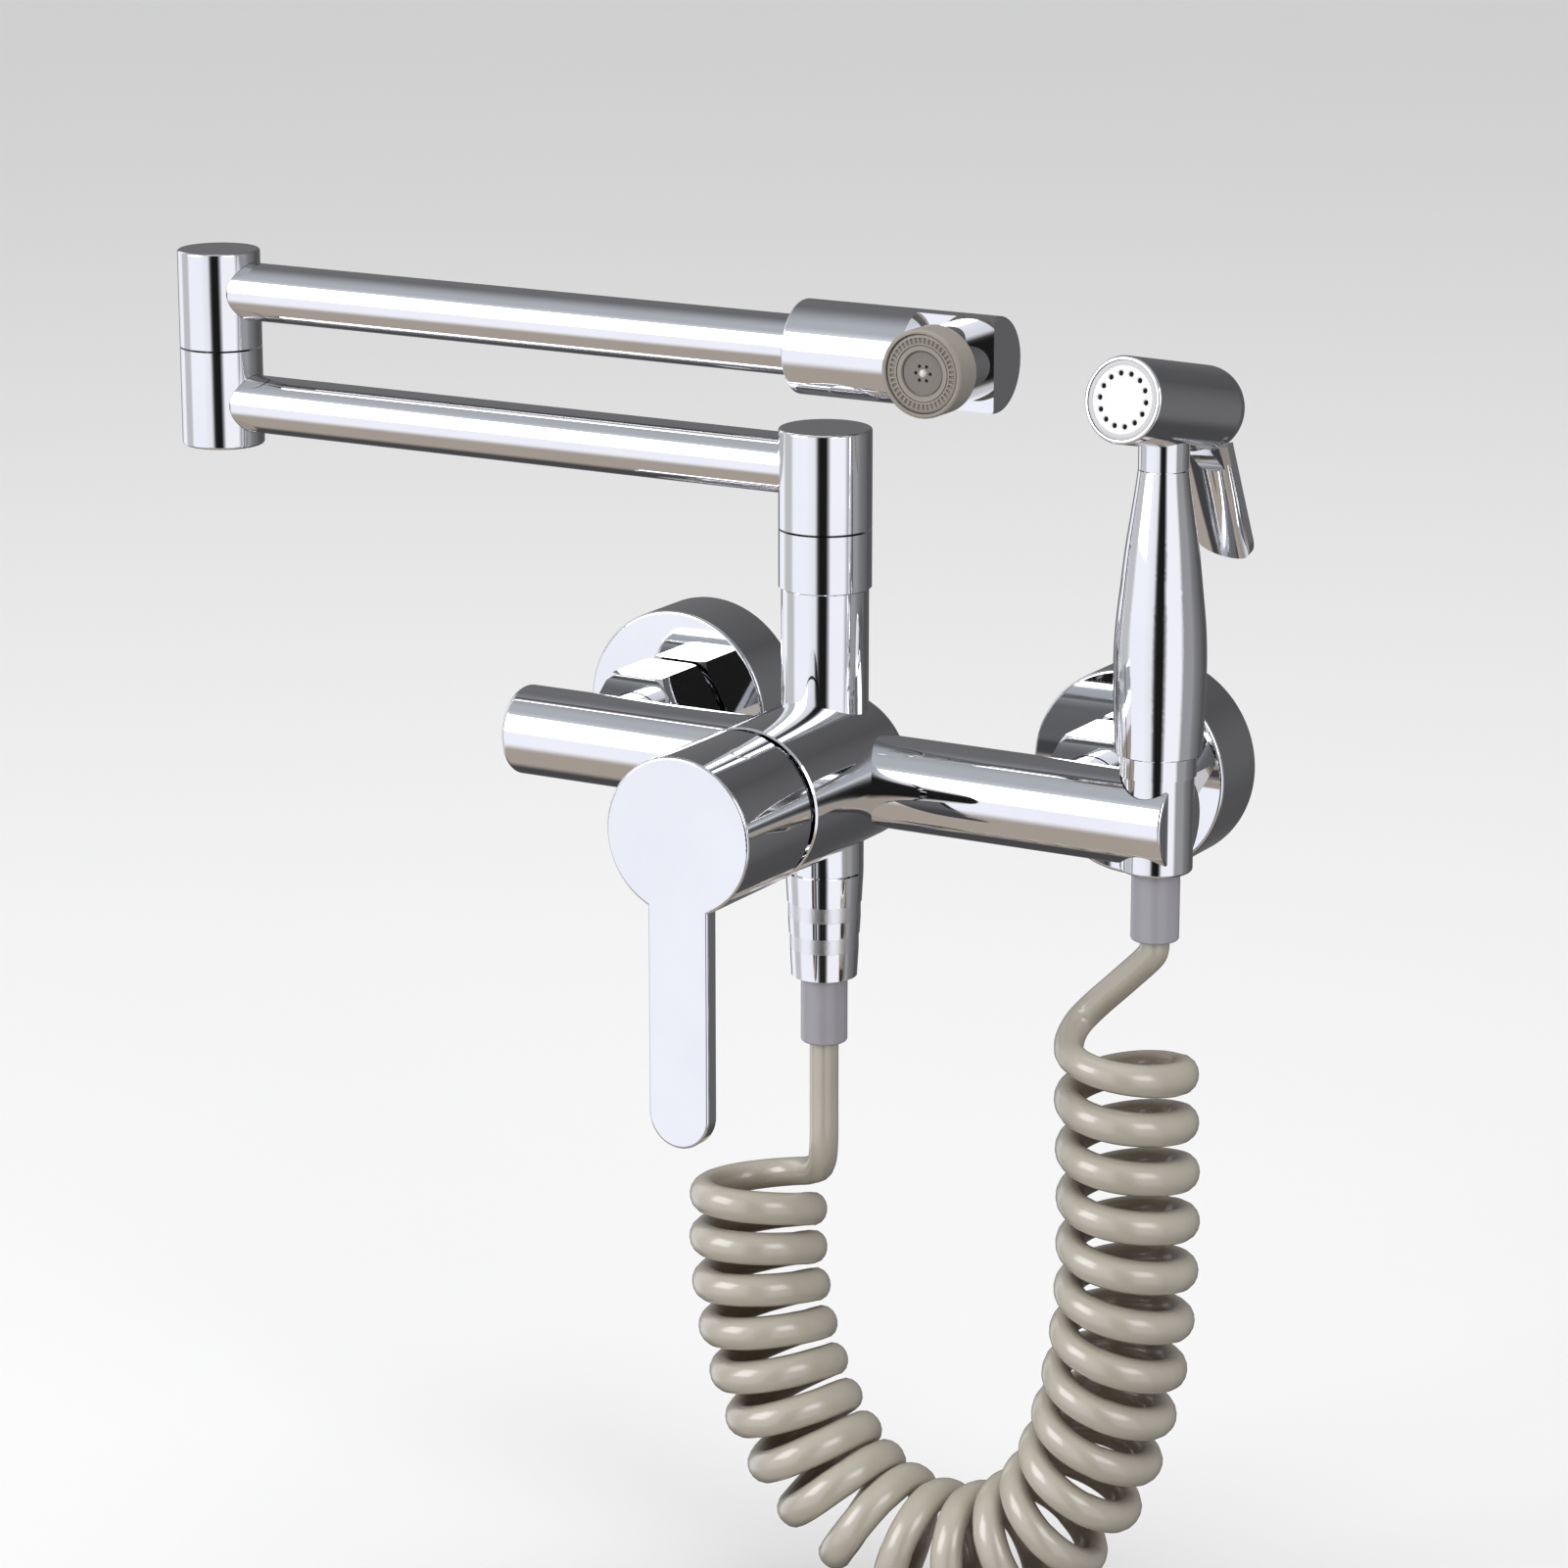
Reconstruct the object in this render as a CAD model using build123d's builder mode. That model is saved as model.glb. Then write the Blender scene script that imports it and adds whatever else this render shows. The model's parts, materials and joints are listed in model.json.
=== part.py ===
from build123d import *
import os
from math import cos, exp, pi, radians, sin, sqrt, tanh

# Wall-mounted kitchen mixer: two wall inlets, a bar-shaped body with a front lever, a folding spout
# with a swivelling outlet, and a hand sprayer that stands in the end of the bar on a coiled hose.
# Frame: the wall is the plane Y = 0, the room is on its -Y side, +Z is up, and the origin lies on the
# wall midway between the inlets. Lengths are in millimetres and angles in degrees.

# Clearances
running_fit = 0.06
thread_fit = 0.1
loose_fit = 0.2
seam = 0.3
joint_line = 0.6

# Wall connections
inlet_spacing = 150.0
inlet_thread_d = 20.95
inlet_thread_length = 18.0
inlet_shoulder = 3.0
union_thread_d = 26.4
union_bore_d = 14.0
union_reach = 36.0
flange_d = 60.0
flange_depth = 21.5
flange_wall = 1.6
flange_edge = 1.0
union_nut_flats = 30.0
union_nut_standoff = 1.5
union_nut_lip = 3.6
union_nut_chamfer = 1.2
inlet_washer_thickness = 2.0
strainer_thickness = 2.0
strainer_hole_d = 2.4
strainer_ring_d = 8.0

# Mixer body
bar_reach = 64.0
bar_d = 26.4
bar_left = 102.0
bar_left_edge = 2.0
holder_x = 105.0
holder_end = 7.0
holder_bore_d = 20.7
holder_edge = 0.8
body_d = 45.0
body_front = 44.0
body_back = 13.0
body_back_edge = 6.0
body_front_edge = 0.5
tail_d = 20.0
tail_flange_d = 25.6
tail_flange_thickness = 3.2
upright_d = 24.9
upright_top = 54.2
spigot_d = 22.0
spigot_length = 9.8
stub_d = 22.4
stub_bottom = 28.5
stub_spigot_d = 18.0
stub_spigot_length = 9.0
inlet_way_d = 7.0
port_way_d = 6.4
mixed_way_d = 8.0
port_offset_x = 7.5
port_offset_z = 4.5
outlet_port_z = 8.0
inlet_way_depth = 5.0
mixed_way_depth = 6.0

# Cartridge
chamber_d = 36.0
chamber_depth = 22.0
mouth_d = 40.0
mouth_depth = 7.0
cartridge_base_thickness = 4.0
seal_thickness = 1.0
seal_width = 1.4
fixed_disc_d = 31.0
fixed_disc_thickness = 3.0
housing_wall = 1.9
housing_shoulder = 2.0
neck_d = 25.0
rotor_d = 20.4
rotor_flange_d = 26.0
rotor_flange_thickness = 2.8
rotor_front = 48.0
moving_disc_d = 22.0
moving_disc_thickness = 4.5
disc_face_gap = 0.05
stem_width = 7.0
stem_tip_d = 4.0
stem_neck_d = 2.8
stem_tip_reach = 7.2
stem_front = 74.0
stem_pin_d = 3.0
cartridge_nut_notch = 4.0

# Lever handle
handle_d = 45.0
handle_front = 81.7
handle_rim = 47.4
handle_wall = 2.5
handle_edge = 0.8
handle_pivot_depth = 8.0
handle_lift_max = 25.0
hub_d = 17.0
hub_back = 57.0
lever_width = 19.0
lever_thickness = 4.5
lever_tip_z = -89.0
groove_depth = 3.2
dome_height = 6.3
dome_bore_d = 26.4
set_screw_d = 5.0
set_screw_length = 4.5
set_screw_key_d = 2.5

# Folding spout
base_d = 26.5
base_bottom = 71.5
base_top = 99.8
base_edge = 0.8
spout_nut_lip = 4.2
swivel_d = 16.4
swivel_bore_d = 11.0
swivel_flange_thickness = 2.6
swivel_bottom = 36.0
oring_d = 1.4
arm_d = 17.2
arm_wall = 1.3
arm_length = 208.0
lower_arm_z = 88.4
upper_arm_z = 122.2
elbow_d = 24.6
elbow_bottom = 75.3
elbow_seam_z = 104.9
elbow_top = 134.2
elbow_edge = 0.8
spout_chamber_d = 18.0
spout_roof = 3.2
plug_thickness = 2.0
clip_thickness = 1.2
clip_width = 2.4
clip_gap = 0.3

# Spout outlet
outlet_d = 26.8
outlet_nut_back = -7.0
outlet_seam_x = 4.2
outlet_end = 54.5
outlet_edge = 0.8
outlet_flat_start = 30.5
outlet_flat_depth = 3.0
outlet_nut_lip = 3.4
outlet_spigot_d = 22.4
arm_end = 18.0
arm_oring_d = 0.9
aerator_x = 42.6
boss_d = 22.6
boss_length = 11.0
boss_bore_d = 20.2
aerator_d = 24.6
aerator_length = 9.0
aerator_neck_length = 6.0
aerator_edge = 0.7
aerator_lip = 1.2
aerator_face_recess = 0.5
aerator_outer_holes = 36
aerator_middle_holes = 24
aerator_centre_holes = 7
aerator_hole_d = 0.8
aerator_core_d = 11.4
aerator_core_recess = 0.8
aerator_washer_thickness = 1.6

# Hose connections
hose_d = 8.4
hose_bore_d = 5.6
hose_nut_top_d = 22.4
hose_nut_bottom_d = 18.9
hose_nut_bottom = 60.0
hose_nut_bands = (40.0, 49.4)
hose_nut_band_height = 4.4
hose_nut_band_depth = 0.15
sleeve_d = 13.5
sleeve_bottom = 80.0
sleeve_flange_d = 17.0
sleeve_flange_thickness = 2.6
sleeve_edge = 0.8
hose_washer_thickness = 1.8

# Hand sprayer
sprayer_yaw = 6.1
sprayer_nut_d = 20.1
sprayer_collar_d = 21.2
sprayer_nut_bottom = 14.0
sprayer_spigot_d = 15.0
sprayer_spigot_length = 12.0
sprayer_sleeve_bottom = 34.0
sprayer_sleeve_flange_d = 14.8
sprayer_outline = (
    (12.0, 19.6),
    (12.4, 27.0),
    (12.8, 41.0),
    (12.4, 54.7),
    (11.3, 65.6),
    (10.1, 76.5),
    (8.5, 87.3),
    (7.0, 98.2),
)
sprayer_neck_d = 14.0
sprayer_bore_d = 9.0
neck_spigot_d = 11.0
neck_spigot_length = 8.0
head_d = 23.8
head_z = 116.0
head_tilt = 11.65
head_front = 22.3
head_back = 28.0
head_back_edge = 8.0
head_front_edge = 0.8
head_cavity_d = 18.6
head_cavity_back = 24.0
face_d = 21.8
face_thickness = 2.0
face_holes = 14
face_hole_d = 1.5
face_hole_ring_d = 14.4
valve_seat_front = 9.0
valve_seat_thickness = 3.0
valve_seat_hole_d = 8.0
valve_seal_d = 13.0
valve_seal_thickness = 1.9
valve_rod_d = 3.6
valve_backing_thickness = 1.0
valve_collar_d = 8.0
valve_collar_at = 16.0
valve_collar_thickness = 2.0
valve_rod_back = 20.0
spring_d = 7.0
spring_wire_d = 0.8
spring_turns = 3
trigger_pivot_back = 16.0
trigger_pivot_z = 104.5
trigger_pin_d = 2.4
trigger_pin_length = 17.0
trigger_hub_d = 5.2
trigger_lug_width = 8.0
trigger_nib_thickness = 2.6
trigger_nib_gap = 0.4
trigger_fork_depth = 2.8
trigger_blade_top = (25.5, 98.5)
trigger_blade_tip = (38.5, 67.5)
trigger_blade_width = 17.0
trigger_blade_thickness = 2.2
trigger_blade_overlap = 10.0
trigger_head_gap = 0.6
trigger_scoop_radius = 13.0
trigger_slot_margin = 0.8

# Coiled hose: the coil's own line hangs in a U, and the tube winds around it
coil_radius = 16.2
coil_turns = 23
coil_first_angle = 60.0
coil_last_angle = -30.0
coil_first_pitch = 0.88
coil_last_pitch = 1.02
coil_bottom_pitch = 0.32
coil_bottom_at = 0.47
coil_bottom_width = 0.09
coil_lean_back = 3.0
coil_lean_side = 3.2
coil_lean_width = 0.17
coil_line = (
    (-21.5, -64.0, -125.0),
    (-22.0, -64.0, -146.0),
    (-19.0, -64.0, -170.5),
    (-11.0, -64.0, -193.0),
    (2.0, -64.0, -213.0),
    (22.0, -64.0, -226.5),
    (45.0, -64.0, -229.5),
    (67.5, -64.0, -220.5),
    (82.5, -64.0, -202.5),
    (92.0, -64.0, -177.0),
    (97.0, -64.0, -150.0),
    (98.0, -64.0, -113.5),
    (96.8, -64.0, -67.3),
)
hose_drop = (0.0, -64.0, -109.0)
hose_rise = (86.0, -60.0, -56.5)
hose_rise_corner = 4.2

# Derived sizes
rise = (Align.CENTER, Align.CENTER, Align.MIN)
inlet_r = inlet_thread_d / 2
union_r = union_thread_d / 2
union_nut_back = flange_depth + union_nut_standoff
tail_end = union_reach + inlet_washer_thickness
tail_flange_front = tail_end + tail_flange_thickness
union_nut_front = tail_flange_front + loose_fit + union_nut_lip
bar_right = holder_x + holder_end
chamber_floor = body_front - chamber_depth
disc_seat = chamber_floor + cartridge_base_thickness
moving_disc_back = disc_seat + fixed_disc_thickness + disc_face_gap
housing_front = body_front - mouth_depth + housing_shoulder
housing_r = chamber_d / 2 - loose_fit
pivot = handle_rim - handle_pivot_depth
rim_sphere_r = sqrt((handle_d / 2) ** 2 + handle_pivot_depth**2)
dome_r = rim_sphere_r - groove_depth
lever_back = handle_front - lever_thickness
spigot_top = upright_top + spigot_length
spout_nut_top = base_bottom - joint_line
swivel_r = swivel_d / 2
swivel_bore_r = swivel_r + loose_fit
swivel_flange_d = spigot_d - 2 * seam
arm_r = arm_d / 2
arm_seat_r = arm_r + running_fit
elbow_x = -arm_length
elbow_upper_bottom = elbow_seam_z + joint_line / 2
elbow_lower_top = elbow_seam_z - joint_line / 2
oring_groove_r = swivel_bore_r - oring_d - running_fit
outlet_nut_lip_end = outlet_nut_back + outlet_nut_lip
outlet_bore_r = arm_r + loose_fit
boss_front = outlet_flat_depth + boss_length
aerator_front = boss_front + aerator_length
sleeve_r = sleeve_d / 2
stub_spigot_end = stub_bottom + stub_spigot_length
hose_nut_top = stub_bottom + joint_line
sprayer_seam_z = sprayer_outline[0][1]
sprayer_neck_z = sprayer_outline[-1][1]
sprayer_nut_top = sprayer_seam_z - joint_line
sprayer_spigot_end = sprayer_seam_z - sprayer_spigot_length


def room_plane(x, out, z=0.0):
    """A plane that faces the room: its Z runs away from the wall, its X along it and its Y up."""
    return Plane(origin=(x, -out, z), x_dir=(1, 0, 0), z_dir=(0, -1, 0))


def right_plane(x, z, ahead=0.0):
    """A plane whose Z runs to the right, at the bar's distance from the wall or ahead of it."""
    return Plane(origin=(x, -bar_reach - ahead, z), x_dir=(0, 1, 0), z_dir=(1, 0, 0))


def up_plane(x, z, ahead=0.0):
    """A level plane, at the bar's distance from the wall or ahead of it."""
    return Plane(origin=(x, -bar_reach - ahead, z), x_dir=(1, 0, 0), z_dir=(0, 0, 1))


front = room_plane(0, bar_reach)
handle_pivot = front.offset(pivot).origin
yaw = radians(sprayer_yaw)
tilt = radians(head_tilt)
sprayer_right = Vector(cos(yaw), -sin(yaw), 0)
sprayer_behind = Vector(sin(yaw), cos(yaw), 0)
spray_way = -sprayer_behind * cos(tilt) + Vector(0, 0, sin(tilt))
head_plane = Plane(origin=(holder_x, -bar_reach, head_z), x_dir=sprayer_right, z_dir=spray_way)
side_plane = Plane(origin=(holder_x, -bar_reach, 0), x_dir=sprayer_behind, z_dir=sprayer_right)


def biarc(start, heading, end, arrival):
    """Two arcs that leave start along heading and reach end along arrival."""
    chord = end - start
    bend = 2 * (1 - heading.dot(arrival))
    along = chord.dot(heading + arrival)
    reach = (sqrt(along**2 + bend * chord.dot(chord)) - along) / bend
    knee_in = start + heading * reach
    knee_out = end - arrival * reach
    middle = (knee_in + knee_out) * 0.5
    TangentArc(start, middle, tangent=heading)
    TangentArc(middle, end, tangent=(knee_out - knee_in).normalized())


def save(piece, name):
    piece.part.label = name
    export_step(piece.part, f"parts/{name}.step")


os.makedirs("parts", exist_ok=True)
sides = {"left": -inlet_spacing / 2, "right": inlet_spacing / 2}


# Wall connections, one set for each inlet
def wall_flange(x):
    wall = room_plane(x, 0)
    with BuildPart() as flange:
        with Locations(wall):
            Cylinder(flange_d / 2, flange_depth, align=rise)
        fillet(flange.edges().sort_by(Axis.Y)[0], flange_edge)
        with Locations(wall):
            Cylinder(flange_d / 2 - flange_wall, flange_depth - flange_wall, align=rise, mode=Mode.SUBTRACT)
            Cylinder(union_r + thread_fit, flange_depth, align=rise, mode=Mode.SUBTRACT)
    return flange


def wall_union(x):
    with BuildPart() as union:
        with Locations(room_plane(x, -inlet_thread_length)):
            Cylinder(inlet_r, inlet_thread_length + inlet_shoulder, align=rise)
        with Locations(room_plane(x, inlet_shoulder)):
            Cylinder(union_r, union_reach - inlet_shoulder, align=rise)
        with Locations(room_plane(x, -inlet_thread_length)):
            Cylinder(union_bore_d / 2, inlet_thread_length + union_reach, align=rise, mode=Mode.SUBTRACT)
    return union


def union_nut(x):
    back = room_plane(x, union_nut_back)
    length = union_nut_front - union_nut_back
    with BuildPart() as nut:
        with Locations(back):
            Cylinder(union_nut_flats / sqrt(3), length, align=rise)
        chamfer(nut.edges().filter_by(GeomType.CIRCLE), union_nut_chamfer)
        with BuildSketch(back):
            RegularPolygon(union_nut_flats / 2, 6, major_radius=False)
        extrude(amount=length, mode=Mode.INTERSECT)
        with Locations(back):
            Cylinder(union_r + thread_fit, length - union_nut_lip, align=rise, mode=Mode.SUBTRACT)
            Cylinder(tail_d / 2 + loose_fit, length, align=rise, mode=Mode.SUBTRACT)
    return nut


for side, inlet_x in sides.items():
    save(wall_flange(inlet_x), f"{side}_wall_flange")
    save(wall_union(inlet_x), f"{side}_wall_union")
    save(union_nut(inlet_x), f"{side}_union_nut")

with BuildPart() as inlet_washers:
    with Locations(*[room_plane(x, union_reach) for x in sides.values()]):
        Cylinder(tail_flange_d / 2 - loose_fit, inlet_washer_thickness, align=rise)
        Cylinder(union_bore_d / 2, inlet_washer_thickness, align=rise, mode=Mode.SUBTRACT)
save(inlet_washers, "inlet_washers")

with BuildPart() as inlet_strainers:
    for inlet_x in sides.values():
        strainer_back = room_plane(inlet_x, union_reach - strainer_thickness)
        with Locations(strainer_back):
            Cylinder(union_bore_d / 2 - running_fit, strainer_thickness, align=rise)
            Cylinder(strainer_hole_d / 2, strainer_thickness, align=rise, mode=Mode.SUBTRACT)
        with Locations(strainer_back):
            with PolarLocations(strainer_ring_d / 2, 6):
                Cylinder(strainer_hole_d / 2, strainer_thickness, align=rise, mode=Mode.SUBTRACT)
save(inlet_strainers, "inlet_strainers")

# Mixer body: bar, central housing, upright, bottom outlet and the sprayer's holder in one casting
with BuildPart() as mixer_body:
    with Locations(right_plane(-bar_left, 0)):
        Cylinder(bar_d / 2, bar_left + bar_right, align=rise)
    fillet(mixer_body.edges().sort_by(Axis.X)[0], bar_left_edge)
    fillet(mixer_body.edges().sort_by(Axis.X)[-1], holder_edge)
    with Locations(front.offset(-body_back)):
        Cylinder(body_d / 2, body_back + body_front, align=rise)
    fillet(mixer_body.edges().filter_by(GeomType.CIRCLE).sort_by(Axis.Y)[-1], body_back_edge)
    chamfer(mixer_body.edges().filter_by(GeomType.CIRCLE).sort_by(Axis.Y)[0], body_front_edge)
    with Locations(up_plane(0, 0)):
        Cylinder(upright_d / 2, upright_top, align=rise)
        Cylinder(spigot_d / 2, spigot_top, align=rise)
    with Locations(up_plane(0, -stub_bottom)):
        Cylinder(stub_d / 2, stub_bottom, align=rise)
    with Locations(up_plane(0, -stub_spigot_end)):
        Cylinder(stub_spigot_d / 2, stub_spigot_end, align=rise)
    with Locations(*[room_plane(x, tail_end) for x in sides.values()]):
        Cylinder(tail_d / 2, bar_reach - tail_end, align=rise)
        Cylinder(tail_flange_d / 2, tail_flange_thickness, align=rise)
    with Locations(front.offset(chamber_floor)):
        Cylinder(chamber_d / 2, chamber_depth, align=rise, mode=Mode.SUBTRACT)
    with Locations(front.offset(body_front - mouth_depth)):
        Cylinder(mouth_d / 2, mouth_depth, align=rise, mode=Mode.SUBTRACT)
    with Locations(up_plane(0, swivel_bottom)):
        Cylinder(swivel_bore_r, spigot_top - swivel_bottom, align=rise, mode=Mode.SUBTRACT)
    with Locations(up_plane(holder_x, 0)):
        Cylinder(holder_bore_d / 2, 2 * bar_d, mode=Mode.SUBTRACT)
    # Waterways: hot and cold from each tail to the cartridge, mixed water to the spout and the hose
    with Locations(*[room_plane(x, tail_end) for x in sides.values()]):
        Cylinder(union_bore_d / 2, bar_reach + inlet_way_depth - tail_end, align=rise, mode=Mode.SUBTRACT)
    for way_end in (-1, 1):
        way_start = room_plane(way_end * port_offset_x, bar_reach + inlet_way_depth, -port_offset_z)
        with Locations(Plane(way_start.origin, x_dir=(0, 1, 0), z_dir=(way_end, 0, 0))):
            Cylinder(inlet_way_d / 2, inlet_spacing / 2 - port_offset_x, align=rise, mode=Mode.SUBTRACT)
        with Locations(way_start):
            Cylinder(port_way_d / 2, chamber_floor - inlet_way_depth, align=rise, mode=Mode.SUBTRACT)
    with Locations(room_plane(0, bar_reach - mixed_way_depth, outlet_port_z)):
        Cylinder(port_way_d / 2, chamber_floor + mixed_way_depth, align=rise, mode=Mode.SUBTRACT)
    with Locations((0, mixed_way_depth - bar_reach, -stub_bottom / 2)):
        Cylinder(mixed_way_d / 2, swivel_bottom + stub_bottom / 2, align=rise, mode=Mode.SUBTRACT)
    with Locations(up_plane(0, -stub_spigot_end)):
        Cylinder(swivel_bore_d / 2, stub_spigot_end - stub_bottom / 2, align=rise, mode=Mode.SUBTRACT)
save(mixer_body, "mixer_body")

# Cartridge: base with three ports, ceramic discs, housing, rotor and lever stem
ports = [(-port_offset_x, -port_offset_z), (port_offset_x, -port_offset_z), (0, outlet_port_z)]

with BuildPart() as cartridge_base:
    with Locations(front.offset(chamber_floor)):
        Cylinder(housing_r, cartridge_base_thickness, align=rise)
    with Locations(front.offset(chamber_floor)):
        with Locations(*ports):
            Cylinder(port_way_d / 2, cartridge_base_thickness, align=rise, mode=Mode.SUBTRACT)
            Cylinder(port_way_d / 2 + seal_width, seal_thickness, align=rise, mode=Mode.SUBTRACT)
save(cartridge_base, "cartridge_base")

with BuildPart() as cartridge_seals:
    with Locations(front.offset(chamber_floor)):
        with Locations(*ports):
            Cylinder(port_way_d / 2 + seal_width - running_fit, seal_thickness, align=rise)
            Cylinder(port_way_d / 2, seal_thickness, align=rise, mode=Mode.SUBTRACT)
save(cartridge_seals, "cartridge_seals")

with BuildPart() as fixed_ceramic_disc:
    with Locations(front.offset(disc_seat)):
        Cylinder(fixed_disc_d / 2, fixed_disc_thickness, align=rise)
        with Locations(*ports):
            Cylinder(port_way_d / 2, fixed_disc_thickness, align=rise, mode=Mode.SUBTRACT)
save(fixed_ceramic_disc, "fixed_ceramic_disc")

with BuildPart() as cartridge_housing:
    with Locations(front.offset(disc_seat)):
        Cylinder(housing_r, housing_front - disc_seat, align=rise)
    with Locations(front.offset(housing_front)):
        Cylinder(neck_d / 2, body_front - housing_front, align=rise)
    with Locations(front.offset(disc_seat)):
        Cylinder(
            housing_r - housing_wall,
            housing_front - housing_shoulder - disc_seat,
            align=rise,
            mode=Mode.SUBTRACT,
        )
        Cylinder(rotor_d / 2 + running_fit, body_front - disc_seat, align=rise, mode=Mode.SUBTRACT)
save(cartridge_housing, "cartridge_housing")

with BuildPart() as moving_ceramic_disc:
    with Locations(front.offset(moving_disc_back)):
        Cylinder(moving_disc_d / 2, moving_disc_thickness, align=rise)
    with Locations(front.offset(pivot - stem_tip_reach - stem_tip_d / 2 - seam)):
        Cylinder(stem_tip_d / 2 + seam, moving_disc_d, align=rise, mode=Mode.SUBTRACT)
save(moving_ceramic_disc, "moving_ceramic_disc")

rotor_back = housing_front - housing_shoulder - rotor_flange_thickness - loose_fit
slot_width = stem_width + 2 * seam
lift = radians(handle_lift_max)
slot_height = 2 * (stem_width / 2 / cos(lift) + (rotor_front - pivot) * sin(lift) / cos(lift) + seam)
with BuildPart() as cartridge_rotor:
    with Locations(front.offset(rotor_back)):
        Cylinder(rotor_flange_d / 2, rotor_flange_thickness, align=rise)
        Cylinder(rotor_d / 2, rotor_front - rotor_back, align=rise)
    with BuildSketch(front.offset(rotor_back)):
        Rectangle(slot_width, slot_height)
    extrude(amount=rotor_front - rotor_back, mode=Mode.SUBTRACT)
    with Locations(right_plane(0, 0, pivot)):
        Cylinder(stem_pin_d / 2 + running_fit, rotor_d, mode=Mode.SUBTRACT)
save(cartridge_rotor, "cartridge_rotor")

with BuildPart() as cartridge_pin:
    with Locations(right_plane(0, 0, pivot)):
        Cylinder(stem_pin_d / 2, rotor_d - 2 * seam)
save(cartridge_pin, "cartridge_pin")

with BuildPart() as cartridge_stem:
    with BuildSketch(front.offset(pivot - stem_width / 2)):
        Rectangle(stem_width, stem_width)
    extrude(amount=stem_front - pivot + stem_width / 2)
    with Locations(front.offset(pivot - stem_tip_reach)):
        Cylinder(stem_neck_d / 2, stem_tip_reach, align=rise)
        Sphere(stem_tip_d / 2)
    with Locations(right_plane(0, 0, pivot)):
        Cylinder(stem_pin_d / 2 + running_fit, stem_width, mode=Mode.SUBTRACT)
save(cartridge_stem, "cartridge_stem")

with BuildPart() as cartridge_nut:
    with Locations(front.offset(housing_front)):
        Cylinder(mouth_d / 2 - thread_fit, body_front - housing_front, align=rise)
        Cylinder(neck_d / 2 + thread_fit, body_front - housing_front, align=rise, mode=Mode.SUBTRACT)
    with BuildSketch(front.offset(body_front)):
        with PolarLocations((mouth_d + neck_d) / 4, 4):
            Circle(cartridge_nut_notch / 2)
    extrude(amount=-(body_front - housing_front) / 2, mode=Mode.SUBTRACT)
save(cartridge_nut, "cartridge_nut")

with BuildPart() as dome_cover:
    with Locations(front.offset(body_front)):
        Cylinder(handle_d / 2, dome_height, align=rise)
    with Locations(handle_pivot):
        Sphere(dome_r, mode=Mode.INTERSECT)
    with Locations(front.offset(body_front)):
        Cylinder(dome_bore_d / 2, dome_height, align=rise, mode=Mode.SUBTRACT)
save(dome_cover, "dome_cover")

# Lever handle: a hollow cap over the dome, with a flat lever that hangs straight down
set_screw_at = (hub_back + lever_back) / 2
with BuildPart() as lever_handle:
    with Locations(front.offset(pivot)):
        Cylinder(handle_d / 2, handle_front - pivot, align=rise)
        Cylinder(handle_d / 2 - handle_wall, lever_back - pivot, align=rise, mode=Mode.SUBTRACT)
    with Locations(front.offset(hub_back)):
        Cylinder(hub_d / 2, lever_back - hub_back, align=rise)
    with BuildSketch(front.offset(lever_back)):
        with Locations((0, (lever_tip_z + lever_width / 2) / 2)):
            Rectangle(lever_width, -lever_tip_z - lever_width / 2)
        with Locations((0, lever_tip_z + lever_width / 2)):
            Circle(lever_width / 2)
    extrude(amount=lever_thickness)
    fillet(lever_handle.faces().sort_by(Axis.Y)[0].edges(), handle_edge)
    with BuildSketch(front.offset(hub_back)):
        Rectangle(stem_width + 2 * running_fit, stem_width + 2 * running_fit)
    extrude(amount=stem_front - hub_back + running_fit, mode=Mode.SUBTRACT)
    with Locations(handle_pivot):
        Sphere(rim_sphere_r, mode=Mode.SUBTRACT)
    with Locations(Plane(front.offset(set_screw_at).origin, x_dir=(1, 0, 0), z_dir=(0, 0, -1))):
        Cylinder(set_screw_d / 2 + thread_fit, handle_d, align=rise, mode=Mode.SUBTRACT)
save(lever_handle, "lever_handle")

with BuildPart() as handle_set_screw:
    with Locations(up_plane(0, -stem_width / 2 - set_screw_length, set_screw_at)):
        Cylinder(set_screw_d / 2, set_screw_length, align=rise)
    with BuildSketch(up_plane(0, -stem_width / 2 - set_screw_length, set_screw_at)):
        RegularPolygon(set_screw_key_d / 2, 6, major_radius=False)
    extrude(amount=set_screw_length / 2, mode=Mode.SUBTRACT)
save(handle_set_screw, "handle_set_screw")

# Spout swivel on the upright
swivel_flange_bottom = spigot_top + running_fit
with BuildPart() as spout_nut:
    with Locations(up_plane(0, upright_top)):
        Cylinder(base_d / 2, spout_nut_top - upright_top, align=rise)
        Cylinder(
            spigot_d / 2 + thread_fit,
            spout_nut_top - spout_nut_lip - upright_top,
            align=rise,
            mode=Mode.SUBTRACT,
        )
        Cylinder(swivel_bore_r, spout_nut_top - upright_top, align=rise, mode=Mode.SUBTRACT)
    chamfer(spout_nut.edges().group_by(Axis.Z)[0].sort_by(SortBy.RADIUS)[-1], thread_fit * 3)
save(spout_nut, "spout_nut")

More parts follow.
